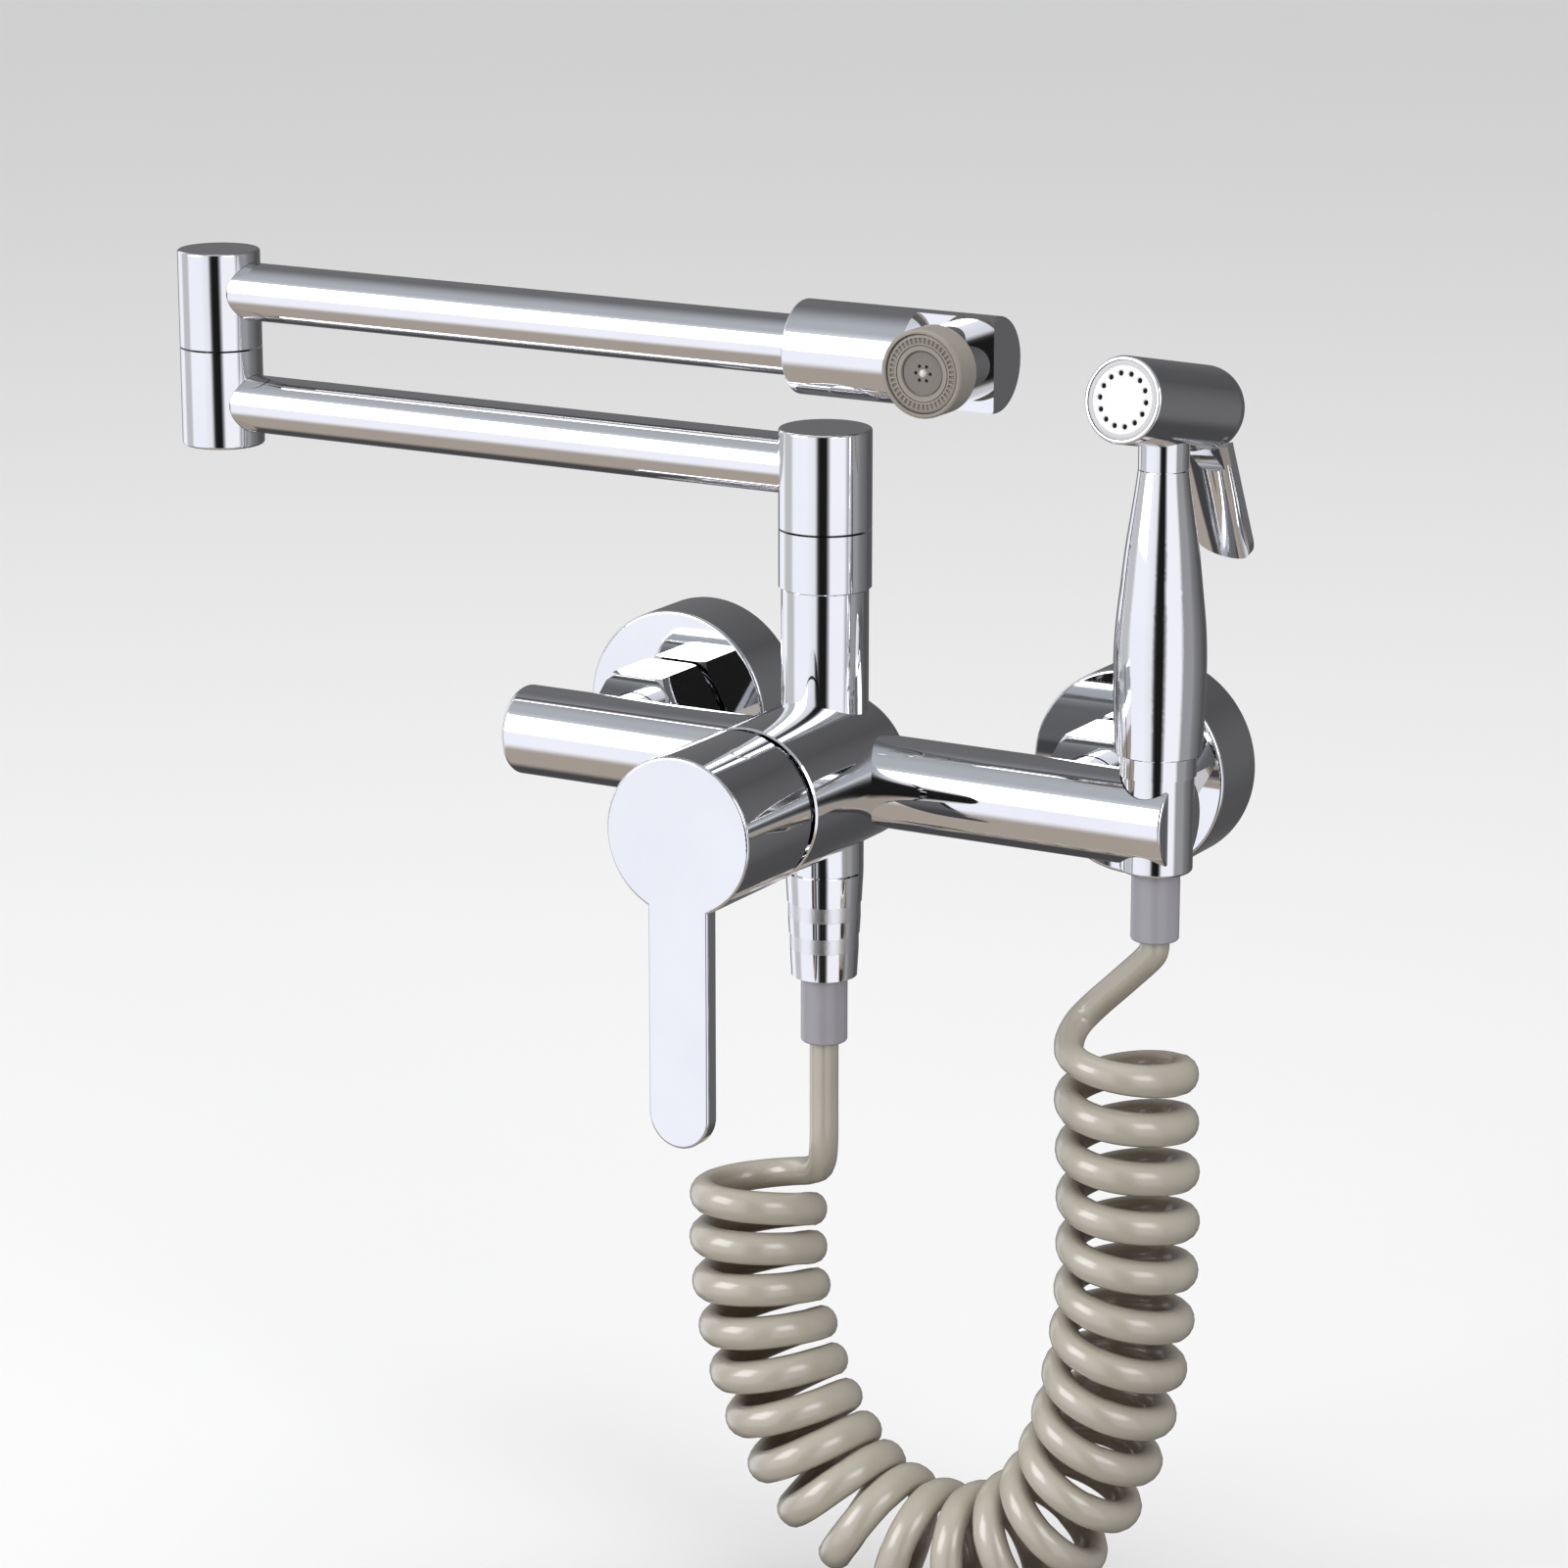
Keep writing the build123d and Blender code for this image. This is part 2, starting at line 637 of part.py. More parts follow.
spout_oring_z = (swivel_bottom + 6.0, swivel_bottom + 14.0)
with BuildPart() as spout_swivel_stem:
    with Locations(up_plane(0, swivel_bottom + seam)):
        Cylinder(swivel_r, lower_arm_z - arm_r - swivel_bottom - seam, align=rise)
    with Locations(up_plane(0, swivel_flange_bottom)):
        Cylinder(swivel_flange_d / 2, swivel_flange_thickness, align=rise)
    with Locations(*[up_plane(0, z) for z in spout_oring_z]):
        Cylinder(swivel_r + seam, oring_d, mode=Mode.SUBTRACT)
        Cylinder(oring_groove_r, oring_d)
    with Locations(up_plane(0, swivel_bottom)):
        Cylinder(swivel_bore_d / 2, base_top - swivel_bottom, align=rise, mode=Mode.SUBTRACT)
save(spout_swivel_stem, "spout_swivel_stem")

with BuildPart() as spout_orings:
    with Locations(*[up_plane(0, z) for z in spout_oring_z]):
        Torus(oring_groove_r + oring_d / 2, oring_d / 2)
save(spout_orings, "spout_orings")

with BuildPart() as spout_base:
    with Locations(up_plane(0, base_bottom)):
        Cylinder(base_d / 2, base_top - base_bottom, align=rise)
    fillet(spout_base.edges().sort_by(Axis.Z)[-1], base_edge)
    with Locations(up_plane(0, base_bottom)):
        Cylinder(swivel_r + running_fit, base_top - base_bottom - spout_roof, align=rise, mode=Mode.SUBTRACT)
    with Locations(right_plane(-base_d, lower_arm_z)):
        Cylinder(arm_seat_r, base_d, align=rise, mode=Mode.SUBTRACT)
save(spout_base, "spout_base")

arm_inset = spout_chamber_d / 2
with BuildPart() as lower_arm:
    with Locations(right_plane(elbow_x + arm_inset, lower_arm_z)):
        Cylinder(arm_r, arm_length - 2 * arm_inset, align=rise)
        Cylinder(arm_r - arm_wall, arm_length - 2 * arm_inset, align=rise, mode=Mode.SUBTRACT)
save(lower_arm, "lower_arm")

# Elbow: the upper half turns on a stem in the lower half
elbow_stem_bottom = elbow_bottom + plug_thickness + 2 * seam
elbow_bore_bottom = elbow_stem_bottom + clip_thickness + 3 * seam
clip_bottom = elbow_bore_bottom - clip_gap - clip_thickness
elbow_oring_z = (elbow_bore_bottom + oring_d, elbow_lower_top - 2 * oring_d)
clip_r = swivel_bore_r + clip_width / 2

with BuildPart() as elbow_lower:
    with Locations(up_plane(elbow_x, elbow_bottom)):
        Cylinder(elbow_d / 2, elbow_lower_top - elbow_bottom, align=rise)
    fillet(elbow_lower.edges().sort_by(Axis.Z)[0], elbow_edge)
    with Locations(up_plane(elbow_x, elbow_bottom)):
        Cylinder(swivel_bore_r, elbow_lower_top - elbow_bottom, align=rise, mode=Mode.SUBTRACT)
        Cylinder(clip_r + seam, elbow_bore_bottom - elbow_bottom, align=rise, mode=Mode.SUBTRACT)
    with Locations(right_plane(elbow_x, lower_arm_z)):
        Cylinder(arm_seat_r, elbow_d, align=rise, mode=Mode.SUBTRACT)
save(elbow_lower, "elbow_lower")

with BuildPart() as elbow_upper:
    with Locations(up_plane(elbow_x, elbow_upper_bottom)):
        Cylinder(elbow_d / 2, elbow_top - elbow_upper_bottom, align=rise)
    fillet(elbow_upper.edges().sort_by(Axis.Z)[-1], elbow_edge)
    with Locations(up_plane(elbow_x, elbow_upper_bottom)):
        Cylinder(
            swivel_r + running_fit,
            elbow_top - elbow_upper_bottom - spout_roof,
            align=rise,
            mode=Mode.SUBTRACT,
        )
    with Locations(right_plane(elbow_x, upper_arm_z)):
        Cylinder(arm_seat_r, elbow_d, align=rise, mode=Mode.SUBTRACT)
save(elbow_upper, "elbow_upper")

with BuildPart() as elbow_stem:
    with Locations(up_plane(elbow_x, elbow_stem_bottom)):
        Cylinder(swivel_r, upper_arm_z - arm_r - elbow_stem_bottom, align=rise)
    with Locations(*[up_plane(elbow_x, z) for z in elbow_oring_z]):
        Cylinder(swivel_r + seam, oring_d, mode=Mode.SUBTRACT)
        Cylinder(oring_groove_r, oring_d)
    with Locations(up_plane(elbow_x, clip_bottom - running_fit)):
        Cylinder(swivel_r + seam, clip_thickness + 2 * running_fit, align=rise, mode=Mode.SUBTRACT)
        Cylinder(clip_r - clip_width, clip_thickness + 2 * running_fit, align=rise)
    with Locations(up_plane(elbow_x, elbow_stem_bottom)):
        Cylinder(swivel_bore_d / 2, elbow_top - elbow_stem_bottom, align=rise, mode=Mode.SUBTRACT)
    with Locations(right_plane(elbow_x, lower_arm_z)):
        Cylinder(swivel_bore_d / 3, elbow_d, mode=Mode.SUBTRACT)
save(elbow_stem, "elbow_stem")

with BuildPart() as elbow_orings:
    with Locations(*[up_plane(elbow_x, z) for z in elbow_oring_z]):
        Torus(oring_groove_r + oring_d / 2, oring_d / 2)
save(elbow_orings, "elbow_orings")


def retaining_clip(plane, outer_r):
    """A flat snap ring with its opening, lying on the plane."""
    with BuildPart() as clip:
        with BuildSketch(plane):
            Circle(outer_r)
            Circle(outer_r - clip_width + running_fit, mode=Mode.SUBTRACT)
            with Locations((outer_r, 0)):
                Rectangle(outer_r, clip_width, mode=Mode.SUBTRACT)
        extrude(amount=clip_thickness)
    return clip


save(retaining_clip(up_plane(elbow_x, clip_bottom), clip_r), "elbow_clip")

with BuildPart() as elbow_plug:
    with Locations(up_plane(elbow_x, elbow_bottom + seam)):
        Cylinder(clip_r + seam - running_fit, plug_thickness, align=rise)
save(elbow_plug, "elbow_plug")

# Upper arm and the outlet that swivels on its end
outlet_clip_x = outlet_nut_lip_end + clip_gap
arm_oring_x = (outlet_seam_x + 3.0, outlet_seam_x + 9.0)
arm_groove_r = outlet_bore_r - arm_oring_d - running_fit
outlet_clip_r = outlet_bore_r + clip_width / 2

with BuildPart() as upper_arm:
    with Locations(right_plane(elbow_x + arm_inset, upper_arm_z)):
        Cylinder(arm_r, arm_length + arm_end - arm_inset, align=rise)
    with Locations(*[right_plane(x, upper_arm_z) for x in arm_oring_x]):
        Cylinder(arm_r + seam, arm_oring_d, mode=Mode.SUBTRACT)
        Cylinder(arm_groove_r, arm_oring_d)
    with Locations(right_plane(outlet_clip_x - running_fit, upper_arm_z)):
        Cylinder(arm_r + seam, clip_thickness + 2 * running_fit, align=rise, mode=Mode.SUBTRACT)
        Cylinder(outlet_clip_r - clip_width, clip_thickness + 2 * running_fit, align=rise)
    with Locations(right_plane(elbow_x, upper_arm_z)):
        Cylinder(arm_r - arm_wall, 2 * arm_length, align=rise, mode=Mode.SUBTRACT)
save(upper_arm, "upper_arm")

save(retaining_clip(right_plane(outlet_clip_x, upper_arm_z), outlet_clip_r), "outlet_clip")

with BuildPart() as outlet_orings:
    with Locations(*[right_plane(x, upper_arm_z) for x in arm_oring_x]):
        Torus(arm_groove_r + arm_oring_d / 2, arm_oring_d / 2)
save(outlet_orings, "outlet_orings")

with BuildPart() as outlet_nut:
    with Locations(right_plane(outlet_nut_back, upper_arm_z)):
        Cylinder(outlet_d / 2, outlet_seam_x - outlet_nut_back, align=rise)
    fillet(outlet_nut.edges().sort_by(Axis.X)[0], outlet_edge)
    with Locations(right_plane(outlet_nut_lip_end, upper_arm_z)):
        Cylinder(
            outlet_spigot_d / 2 + thread_fit,
            outlet_seam_x - outlet_nut_lip_end,
            align=rise,
            mode=Mode.SUBTRACT,
        )
    with Locations(right_plane(outlet_nut_back, upper_arm_z)):
        Cylinder(outlet_bore_r, outlet_seam_x - outlet_nut_back, align=rise, mode=Mode.SUBTRACT)
save(outlet_nut, "outlet_nut")

outlet_spigot_back = outlet_clip_x + clip_thickness + clip_gap
outlet_front = room_plane(aerator_x, bar_reach, upper_arm_z)
with BuildPart() as outlet_head:
    with Locations(right_plane(outlet_seam_x, upper_arm_z)):
        Cylinder(outlet_d / 2, outlet_end - outlet_seam_x, align=rise)
    fillet(outlet_head.edges().sort_by(Axis.X)[-1], outlet_edge)
    with BuildSketch(right_plane(outlet_flat_start, upper_arm_z)):
        with Locations((-outlet_flat_depth - outlet_d / 2, 0)):
            Rectangle(outlet_d, 2 * outlet_d)
    extrude(amount=outlet_end, mode=Mode.SUBTRACT)
    with Locations(right_plane(outlet_spigot_back, upper_arm_z)):
        Cylinder(outlet_spigot_d / 2, outlet_end / 2 - outlet_spigot_back, align=rise)
    with Locations(outlet_front):
        Cylinder(boss_d / 2, boss_front, align=rise)
    with Locations(right_plane(outlet_spigot_back, upper_arm_z)):
        Cylinder(outlet_bore_r, arm_end + seam - outlet_spigot_back, align=rise, mode=Mode.SUBTRACT)
        Cylinder(arm_r - arm_wall, aerator_x - outlet_spigot_back, align=rise, mode=Mode.SUBTRACT)
    with Locations(outlet_front):
        Cylinder(arm_r - arm_wall, boss_front, align=rise, mode=Mode.SUBTRACT)
    with Locations(outlet_front.offset(boss_front - aerator_neck_length - aerator_washer_thickness)):
        Cylinder(boss_bore_d / 2, 2 * aerator_neck_length, align=rise, mode=Mode.SUBTRACT)
save(outlet_head, "outlet_head")

with BuildPart() as aerator_washer:
    with Locations(outlet_front.offset(boss_front - aerator_neck_length - aerator_washer_thickness)):
        Cylinder(boss_bore_d / 2 - running_fit, aerator_washer_thickness, align=rise)
        Cylinder(arm_r - arm_wall, aerator_washer_thickness, align=rise, mode=Mode.SUBTRACT)
save(aerator_washer, "aerator_washer")

insert_r = aerator_d / 2 - aerator_lip
with BuildPart() as aerator_shell:
    with Locations(outlet_front.offset(boss_front)):
        Cylinder(aerator_d / 2, aerator_length, align=rise)
    fillet(aerator_shell.edges().sort_by(Axis.Y)[0], aerator_edge)
    with Locations(outlet_front.offset(boss_front - aerator_neck_length)):
        Cylinder(boss_bore_d / 2 - thread_fit, aerator_neck_length, align=rise)
        Cylinder(arm_r - arm_wall, aerator_neck_length + aerator_length, align=rise, mode=Mode.SUBTRACT)
    with Locations(outlet_front.offset(boss_front + aerator_lip)):
        Cylinder(insert_r, aerator_length, align=rise, mode=Mode.SUBTRACT)
save(aerator_shell, "aerator_shell")

insert_front = aerator_front - aerator_face_recess
insert_back = boss_front + aerator_lip
with BuildPart() as aerator_insert:
    with Locations(outlet_front.offset(insert_back)):
        Cylinder(insert_r - running_fit, insert_front - insert_back, align=rise)
    with Locations(outlet_front.offset(insert_front - aerator_core_recess)):
        Cylinder(aerator_core_d / 2, aerator_core_recess, align=rise, mode=Mode.SUBTRACT)
    with BuildSketch(outlet_front.offset(insert_front)):
        with PolarLocations(insert_r - 1.5 * aerator_hole_d, aerator_outer_holes):
            Circle(aerator_hole_d / 2)
        with PolarLocations((insert_r + aerator_core_d / 2) / 2 - aerator_hole_d / 2, aerator_middle_holes):
            Circle(aerator_hole_d / 2)
        with PolarLocations(aerator_core_d / 6, aerator_centre_holes):
            Circle(aerator_hole_d / 2)
    extrude(amount=-(insert_front - insert_back), mode=Mode.SUBTRACT)
save(aerator_insert, "aerator_insert")

# Hose end under the mixer
sleeve_top = stub_spigot_end + hose_washer_thickness
nut_shoulder_z = -(sleeve_top + sleeve_flange_thickness)
with BuildPart() as hose_washer_faucet:
    with Locations(up_plane(0, -sleeve_top)):
        Cylinder(stub_spigot_d / 2 - loose_fit, hose_washer_thickness, align=rise)
        Cylinder(hose_bore_d / 2, hose_washer_thickness, align=rise, mode=Mode.SUBTRACT)
save(hose_washer_faucet, "hose_washer_faucet")

with BuildPart() as hose_outlet_nut:
    with Locations(up_plane(0, -hose_nut_bottom)):
        Cone(hose_nut_bottom_d / 2, hose_nut_top_d / 2, hose_nut_bottom - hose_nut_top, align=rise)
    for band_z in hose_nut_bands:
        band_r = hose_nut_bottom_d / 2 + (hose_nut_top_d - hose_nut_bottom_d) / 2 * (
            (hose_nut_bottom - band_z) / (hose_nut_bottom - hose_nut_top)
        )
        with BuildSketch(up_plane(0, -band_z - hose_nut_band_height / 2)):
            Circle(hose_nut_top_d)
            Circle(band_r - hose_nut_band_depth, mode=Mode.SUBTRACT)
        extrude(amount=hose_nut_band_height, mode=Mode.SUBTRACT)
    with Locations(up_plane(0, nut_shoulder_z)):
        Cylinder(stub_spigot_d / 2 + thread_fit, -nut_shoulder_z, align=rise, mode=Mode.SUBTRACT)
    with Locations(up_plane(0, -hose_nut_bottom)):
        Cylinder(sleeve_r + loose_fit, hose_nut_bottom, align=rise, mode=Mode.SUBTRACT)
save(hose_outlet_nut, "hose_outlet_nut")

with BuildPart() as hose_sleeve_faucet:
    with Locations(up_plane(0, -sleeve_bottom)):
        Cylinder(sleeve_r, sleeve_bottom - sleeve_top, align=rise)
    fillet(hose_sleeve_faucet.edges().sort_by(Axis.Z)[0], sleeve_edge)
    with Locations(up_plane(0, nut_shoulder_z)):
        Cylinder(sleeve_flange_d / 2, sleeve_flange_thickness, align=rise)
    with Locations(up_plane(0, -sleeve_bottom)):
        Cylinder(hose_bore_d / 2, sleeve_bottom, align=rise, mode=Mode.SUBTRACT)
save(hose_sleeve_faucet, "hose_sleeve_faucet")

# Hose end in the sprayer, which stands in the holder on the collar of its nut
sprayer_washer_bottom = sprayer_spigot_end - hose_washer_thickness
sprayer_shoulder_z = sprayer_washer_bottom - sleeve_flange_thickness
collar_bottom = bar_d / 2 + running_fit

with BuildPart() as hose_washer_sprayer:
    with Locations(up_plane(holder_x, sprayer_washer_bottom)):
        Cylinder(sprayer_spigot_d / 2 - loose_fit, hose_washer_thickness, align=rise)
        Cylinder(hose_bore_d / 2, hose_washer_thickness, align=rise, mode=Mode.SUBTRACT)
save(hose_washer_sprayer, "hose_washer_sprayer")

with BuildPart() as sprayer_hose_nut:
    with Locations(up_plane(holder_x, -sprayer_nut_bottom)):
        Cylinder(sprayer_nut_d / 2, sprayer_nut_bottom + sprayer_nut_top, align=rise)
    fillet(sprayer_hose_nut.edges().sort_by(Axis.Z)[0], sleeve_edge)
    with Locations(up_plane(holder_x, collar_bottom)):
        Cylinder(sprayer_collar_d / 2, sprayer_nut_top - collar_bottom, align=rise)
    with Locations(up_plane(holder_x, sprayer_shoulder_z)):
        Cylinder(
            sprayer_spigot_d / 2 + thread_fit,
            sprayer_seam_z - sprayer_shoulder_z,
            align=rise,
            mode=Mode.SUBTRACT,
        )
    with Locations(up_plane(holder_x, 0)):
        Cylinder(sleeve_r + loose_fit, 2 * bar_d, mode=Mode.SUBTRACT)
save(sprayer_hose_nut, "sprayer_hose_nut")

with BuildPart() as hose_sleeve_sprayer:
    with Locations(up_plane(holder_x, -sprayer_sleeve_bottom)):
        Cylinder(sleeve_r, sprayer_sleeve_bottom + sprayer_washer_bottom, align=rise)
    fillet(hose_sleeve_sprayer.edges().sort_by(Axis.Z)[0], sleeve_edge)
    with Locations(up_plane(holder_x, sprayer_shoulder_z)):
        Cylinder(sprayer_sleeve_flange_d / 2, sleeve_flange_thickness, align=rise)
    with Locations(up_plane(holder_x, 0)):
        Cylinder(hose_bore_d / 2, 4 * sprayer_sleeve_bottom, mode=Mode.SUBTRACT)
save(hose_sleeve_sprayer, "hose_sleeve_sprayer")

# Sprayer: turned handle, tilted head, spray face, valve and trigger
with BuildPart() as sprayer_handle:
    with BuildSketch(side_plane):
        with BuildLine():
            barrel = Spline(*sprayer_outline)
            Polyline(barrel @ 1, (0, sprayer_neck_z), (0, sprayer_seam_z), barrel @ 0)
        make_face()
    revolve(axis=Axis(side_plane.origin, (0, 0, 1)))
    with Locations(up_plane(holder_x, sprayer_spigot_end)):
        Cylinder(sprayer_spigot_d / 2, sprayer_spigot_length, align=rise)
        Cylinder(sprayer_bore_d / 2, sprayer_neck_z, align=rise, mode=Mode.SUBTRACT)
    with Locations(up_plane(holder_x, sprayer_neck_z - neck_spigot_length)):
        Cylinder(neck_spigot_d / 2 + thread_fit, neck_spigot_length, align=rise, mode=Mode.SUBTRACT)
save(sprayer_handle, "sprayer_handle")


def head_point(ahead, above):
    """A point of the sprayer's middle plane, from its place along and above the head's axis."""
    behind = -ahead * cos(tilt) + above * sin(tilt)
    return (behind, head_z + ahead * sin(tilt) + above * cos(tilt))


trigger_pivot = (trigger_pivot_back, trigger_pivot_z)
slot_back = trigger_blade_top[0] + trigger_hub_d / 4
slot_front = trigger_pivot_back - trigger_hub_d / 2 - trigger_slot_margin
neck_spigot_bottom = sprayer_neck_z - neck_spigot_length + seam
with BuildPart() as sprayer_head:
    with Locations(head_plane.offset(-head_back)):
        Cylinder(head_d / 2, head_back + head_front, align=rise)
    fillet(sprayer_head.edges().filter_by(GeomType.CIRCLE).sort_by(Axis.Y)[-1], head_back_edge)
    fillet(sprayer_head.edges().filter_by(GeomType.CIRCLE).sort_by(Axis.Y)[0], head_front_edge)
    with Locations(up_plane(holder_x, sprayer_neck_z + seam)):
        Cylinder(sprayer_neck_d / 2, head_z - sprayer_neck_z - seam, align=rise)
    with Locations(up_plane(holder_x, neck_spigot_bottom)):
        Cylinder(neck_spigot_d / 2, neck_spigot_length, align=rise)
        Cylinder(hose_bore_d / 2, head_z - neck_spigot_bottom, align=rise, mode=Mode.SUBTRACT)
    with Locations(head_plane.offset(-head_cavity_back)):
        Cylinder(head_cavity_d / 2, head_cavity_back + head_front, align=rise, mode=Mode.SUBTRACT)
    with Locations(head_plane.offset(head_front - face_thickness - seam)):
        Cylinder(face_d / 2, head_d, align=rise, mode=Mode.SUBTRACT)
    with BuildSketch(side_plane):
        with BuildLine():
            Polyline(
                (slot_front, trigger_pivot_z + trigger_hub_d / 2),
                (slot_back, trigger_pivot_z + trigger_hub_d / 2),
                (slot_back, trigger_pivot_z - head_d / 2),
                (slot_front, trigger_pivot_z - head_d / 2),
                close=True,
            )
        make_face()
    extrude(amount=trigger_lug_width / 2 + trigger_slot_margin, both=True, mode=Mode.SUBTRACT)
    with BuildSketch(side_plane):
        with Locations(trigger_pivot):
            Circle(trigger_pin_d / 2 + running_fit)
    extrude(amount=head_d, both=True, mode=Mode.SUBTRACT)
save(sprayer_head, "sprayer_head")

with BuildPart() as spray_face:
    with Locations(head_plane.offset(head_front - face_thickness - seam)):
        Cylinder(face_d / 2 - running_fit, face_thickness, align=rise)
    with BuildSketch(head_plane.offset(head_front)):
        with PolarLocations(face_hole_ring_d / 2, face_holes):
            Circle(face_hole_d / 2)
    extrude(amount=-2 * face_thickness, mode=Mode.SUBTRACT)
save(spray_face, "spray_face")

valve_seat_back = valve_seat_front - valve_seat_thickness
valve_seal_back = valve_seat_back - running_fit - valve_seal_thickness
with BuildPart() as valve_seat:
    with Locations(head_plane.offset(valve_seat_back)):
        Cylinder(head_cavity_d / 2 - running_fit, valve_seat_thickness, align=rise)
        Cylinder(valve_seat_hole_d / 2, valve_seat_thickness, align=rise, mode=Mode.SUBTRACT)
save(valve_seat, "valve_seat")

with BuildPart() as valve_seal:
    with Locations(head_plane.offset(valve_seal_back)):
        Cylinder(valve_seal_d / 2, valve_seal_thickness, align=rise)
        Cylinder(valve_rod_d / 2 + running_fit, valve_seal_thickness, align=rise, mode=Mode.SUBTRACT)
save(valve_seal, "valve_seal")

with BuildPart() as valve_stem:
    with Locations(head_plane.offset(-valve_rod_back)):
        Cylinder(valve_rod_d / 2, valve_rod_back + valve_seal_back + valve_seal_thickness, align=rise)
    with Locations(head_plane.offset(valve_seal_back - valve_backing_thickness - running_fit)):
        Cylinder(valve_seal_d / 2, valve_backing_thickness, align=rise)
    with Locations(head_plane.offset(-valve_collar_at - valve_collar_thickness)):
        Cylinder(valve_collar_d / 2, valve_collar_thickness, align=rise)
save(valve_stem, "valve_stem")

spring_start = valve_collar_at + valve_collar_thickness + spring_wire_d / 2 + running_fit
spring_height = head_cavity_back - spring_wire_d / 2 - running_fit - spring_start
spring_plane = Plane(head_plane.offset(-spring_start).origin, x_dir=sprayer_right, z_dir=-spray_way)
spring_r = (spring_d - spring_wire_d) / 2
spring_climb = spring_height / (2 * pi * spring_turns)


def spring_point(angle):
    return spring_plane.from_local_coords(
        Vector(spring_r * cos(angle), spring_r * sin(angle), spring_climb * angle)
    )


def spring_heading(angle):
    along = Vector(-spring_r * sin(angle), spring_r * cos(angle), spring_climb).normalized()
    return spring_plane.from_local_coords(along) - spring_plane.origin


with BuildPart() as valve_spring:
    with BuildLine() as spring_path:
        for half_turn in range(2 * spring_turns):
            begin = half_turn * pi
            biarc(
                spring_point(begin),
                spring_heading(begin),
                spring_point(begin + pi),
                spring_heading(begin + pi),
            )
    with BuildSketch(Plane(spring_point(0), z_dir=spring_heading(0))):
        Circle(spring_wire_d / 2)
    sweep()
save(valve_spring, "valve_spring")

blade_along = Vector(
    trigger_blade_tip[0] - trigger_blade_top[0],
    trigger_blade_tip[1] - trigger_blade_top[1],
)
blade_heading = sprayer_behind * blade_along.X + Vector(0, 0, blade_along.Y)
blade_plane = Plane(
    origin=side_plane.from_local_coords(Vector(*trigger_blade_top, 0)),
    x_dir=sprayer_right,
    z_dir=blade_heading,
)
blade_face = Plane(origin=blade_plane.origin, x_dir=sprayer_right, z_dir=-blade_plane.y_dir)
blade_straight = blade_along.length - trigger_blade_width / 2
nib_back = trigger_nib_gap - valve_collar_at
nib_front = nib_back + trigger_nib_thickness

with BuildPart() as head_room:
    with Locations(head_plane.offset(-head_back - trigger_head_gap)):
        Cylinder(head_d / 2 + trigger_head_gap, 2 * head_back, align=rise)
    round_end = head_room.edges().filter_by(GeomType.CIRCLE).sort_by(Axis.Y)[-1]
    fillet(round_end, head_back_edge + trigger_head_gap)

with BuildPart() as trigger:
    with BuildSketch(blade_plane.offset(-trigger_blade_overlap)):
        with Locations((0, trigger_scoop_radius)):
            Circle(trigger_scoop_radius + trigger_blade_thickness / 2)
            Circle(trigger_scoop_radius - trigger_blade_thickness / 2, mode=Mode.SUBTRACT)
        with Locations((0, trigger_scoop_radius / 2 - trigger_blade_thickness)):
            Rectangle(trigger_blade_width, trigger_scoop_radius, mode=Mode.INTERSECT)
    extrude(amount=blade_along.length + trigger_blade_overlap)
    with BuildSketch(blade_face):
        with Locations((0, (blade_straight - trigger_blade_overlap) / 2)):
            Rectangle(trigger_blade_width, blade_straight + trigger_blade_overlap)
        with Locations((0, blade_straight)):
            Circle(trigger_blade_width / 2)
    extrude(amount=trigger_blade_width, both=True, mode=Mode.INTERSECT)
    add(head_room.part, mode=Mode.SUBTRACT)
    with BuildSketch(side_plane):
        with BuildLine():
            Polyline(
                (trigger_pivot_back, trigger_pivot_z + trigger_hub_d / 2),
                (trigger_blade_top[0], trigger_blade_top[1] + trigger_blade_thickness / 2),
                (trigger_blade_top[0] + trigger_blade_thickness / 2, trigger_blade_top[1] - trigger_hub_d),
                (trigger_pivot_back, trigger_pivot_z - trigger_hub_d / 2),
                close=True,
            )
        make_face()
        with Locations(trigger_pivot):
            Circle(trigger_hub_d / 2)
        with BuildLine():
            Polyline(
                head_point(nib_back, trigger_nib_gap),
                head_point(nib_front, trigger_nib_gap),
                (trigger_pivot_back - trigger_hub_d / 2, trigger_pivot_z),
                (trigger_pivot_back, trigger_pivot_z + trigger_hub_d / 2),
                head_point(nib_back, -valve_collar_d / 2 - seam),
                close=True,
            )
        make_face()
    extrude(amount=trigger_lug_width / 2, both=True)
    with BuildSketch(side_plane):
        with Locations(trigger_pivot):
            Circle(trigger_pin_d / 2 + running_fit)
    extrude(amount=trigger_lug_width, both=True, mode=Mode.SUBTRACT)
    with BuildSketch(side_plane):
        with BuildLine():
            Polyline(
                head_point(nib_back - trigger_nib_thickness, -trigger_fork_depth),
                head_point(nib_front + trigger_nib_thickness, -trigger_fork_depth),
                head_point(nib_front + trigger_nib_thickness, trigger_fork_depth),
                head_point(nib_back - trigger_nib_thickness, trigger_fork_depth),
                close=True,
            )
        make_face()
    extrude(amount=valve_rod_d / 2 + seam, both=True, mode=Mode.SUBTRACT)
save(trigger, "trigger")

with BuildPart() as trigger_pin:
    with BuildSketch(side_plane):
        with Locations(trigger_pivot):
            Circle(trigger_pin_d / 2)
    extrude(amount=trigger_pin_length / 2, both=True)
save(trigger_pin, "trigger_pin")

# Coiled hose: straight out of the mixer's sleeve, wound around the hanging line, up to the sprayer
with BuildLine() as coil_axis:
    Spline(*coil_line)
coil_start = radians(coil_first_angle)
coil_end = 2 * pi * coil_turns + radians(coil_last_angle)


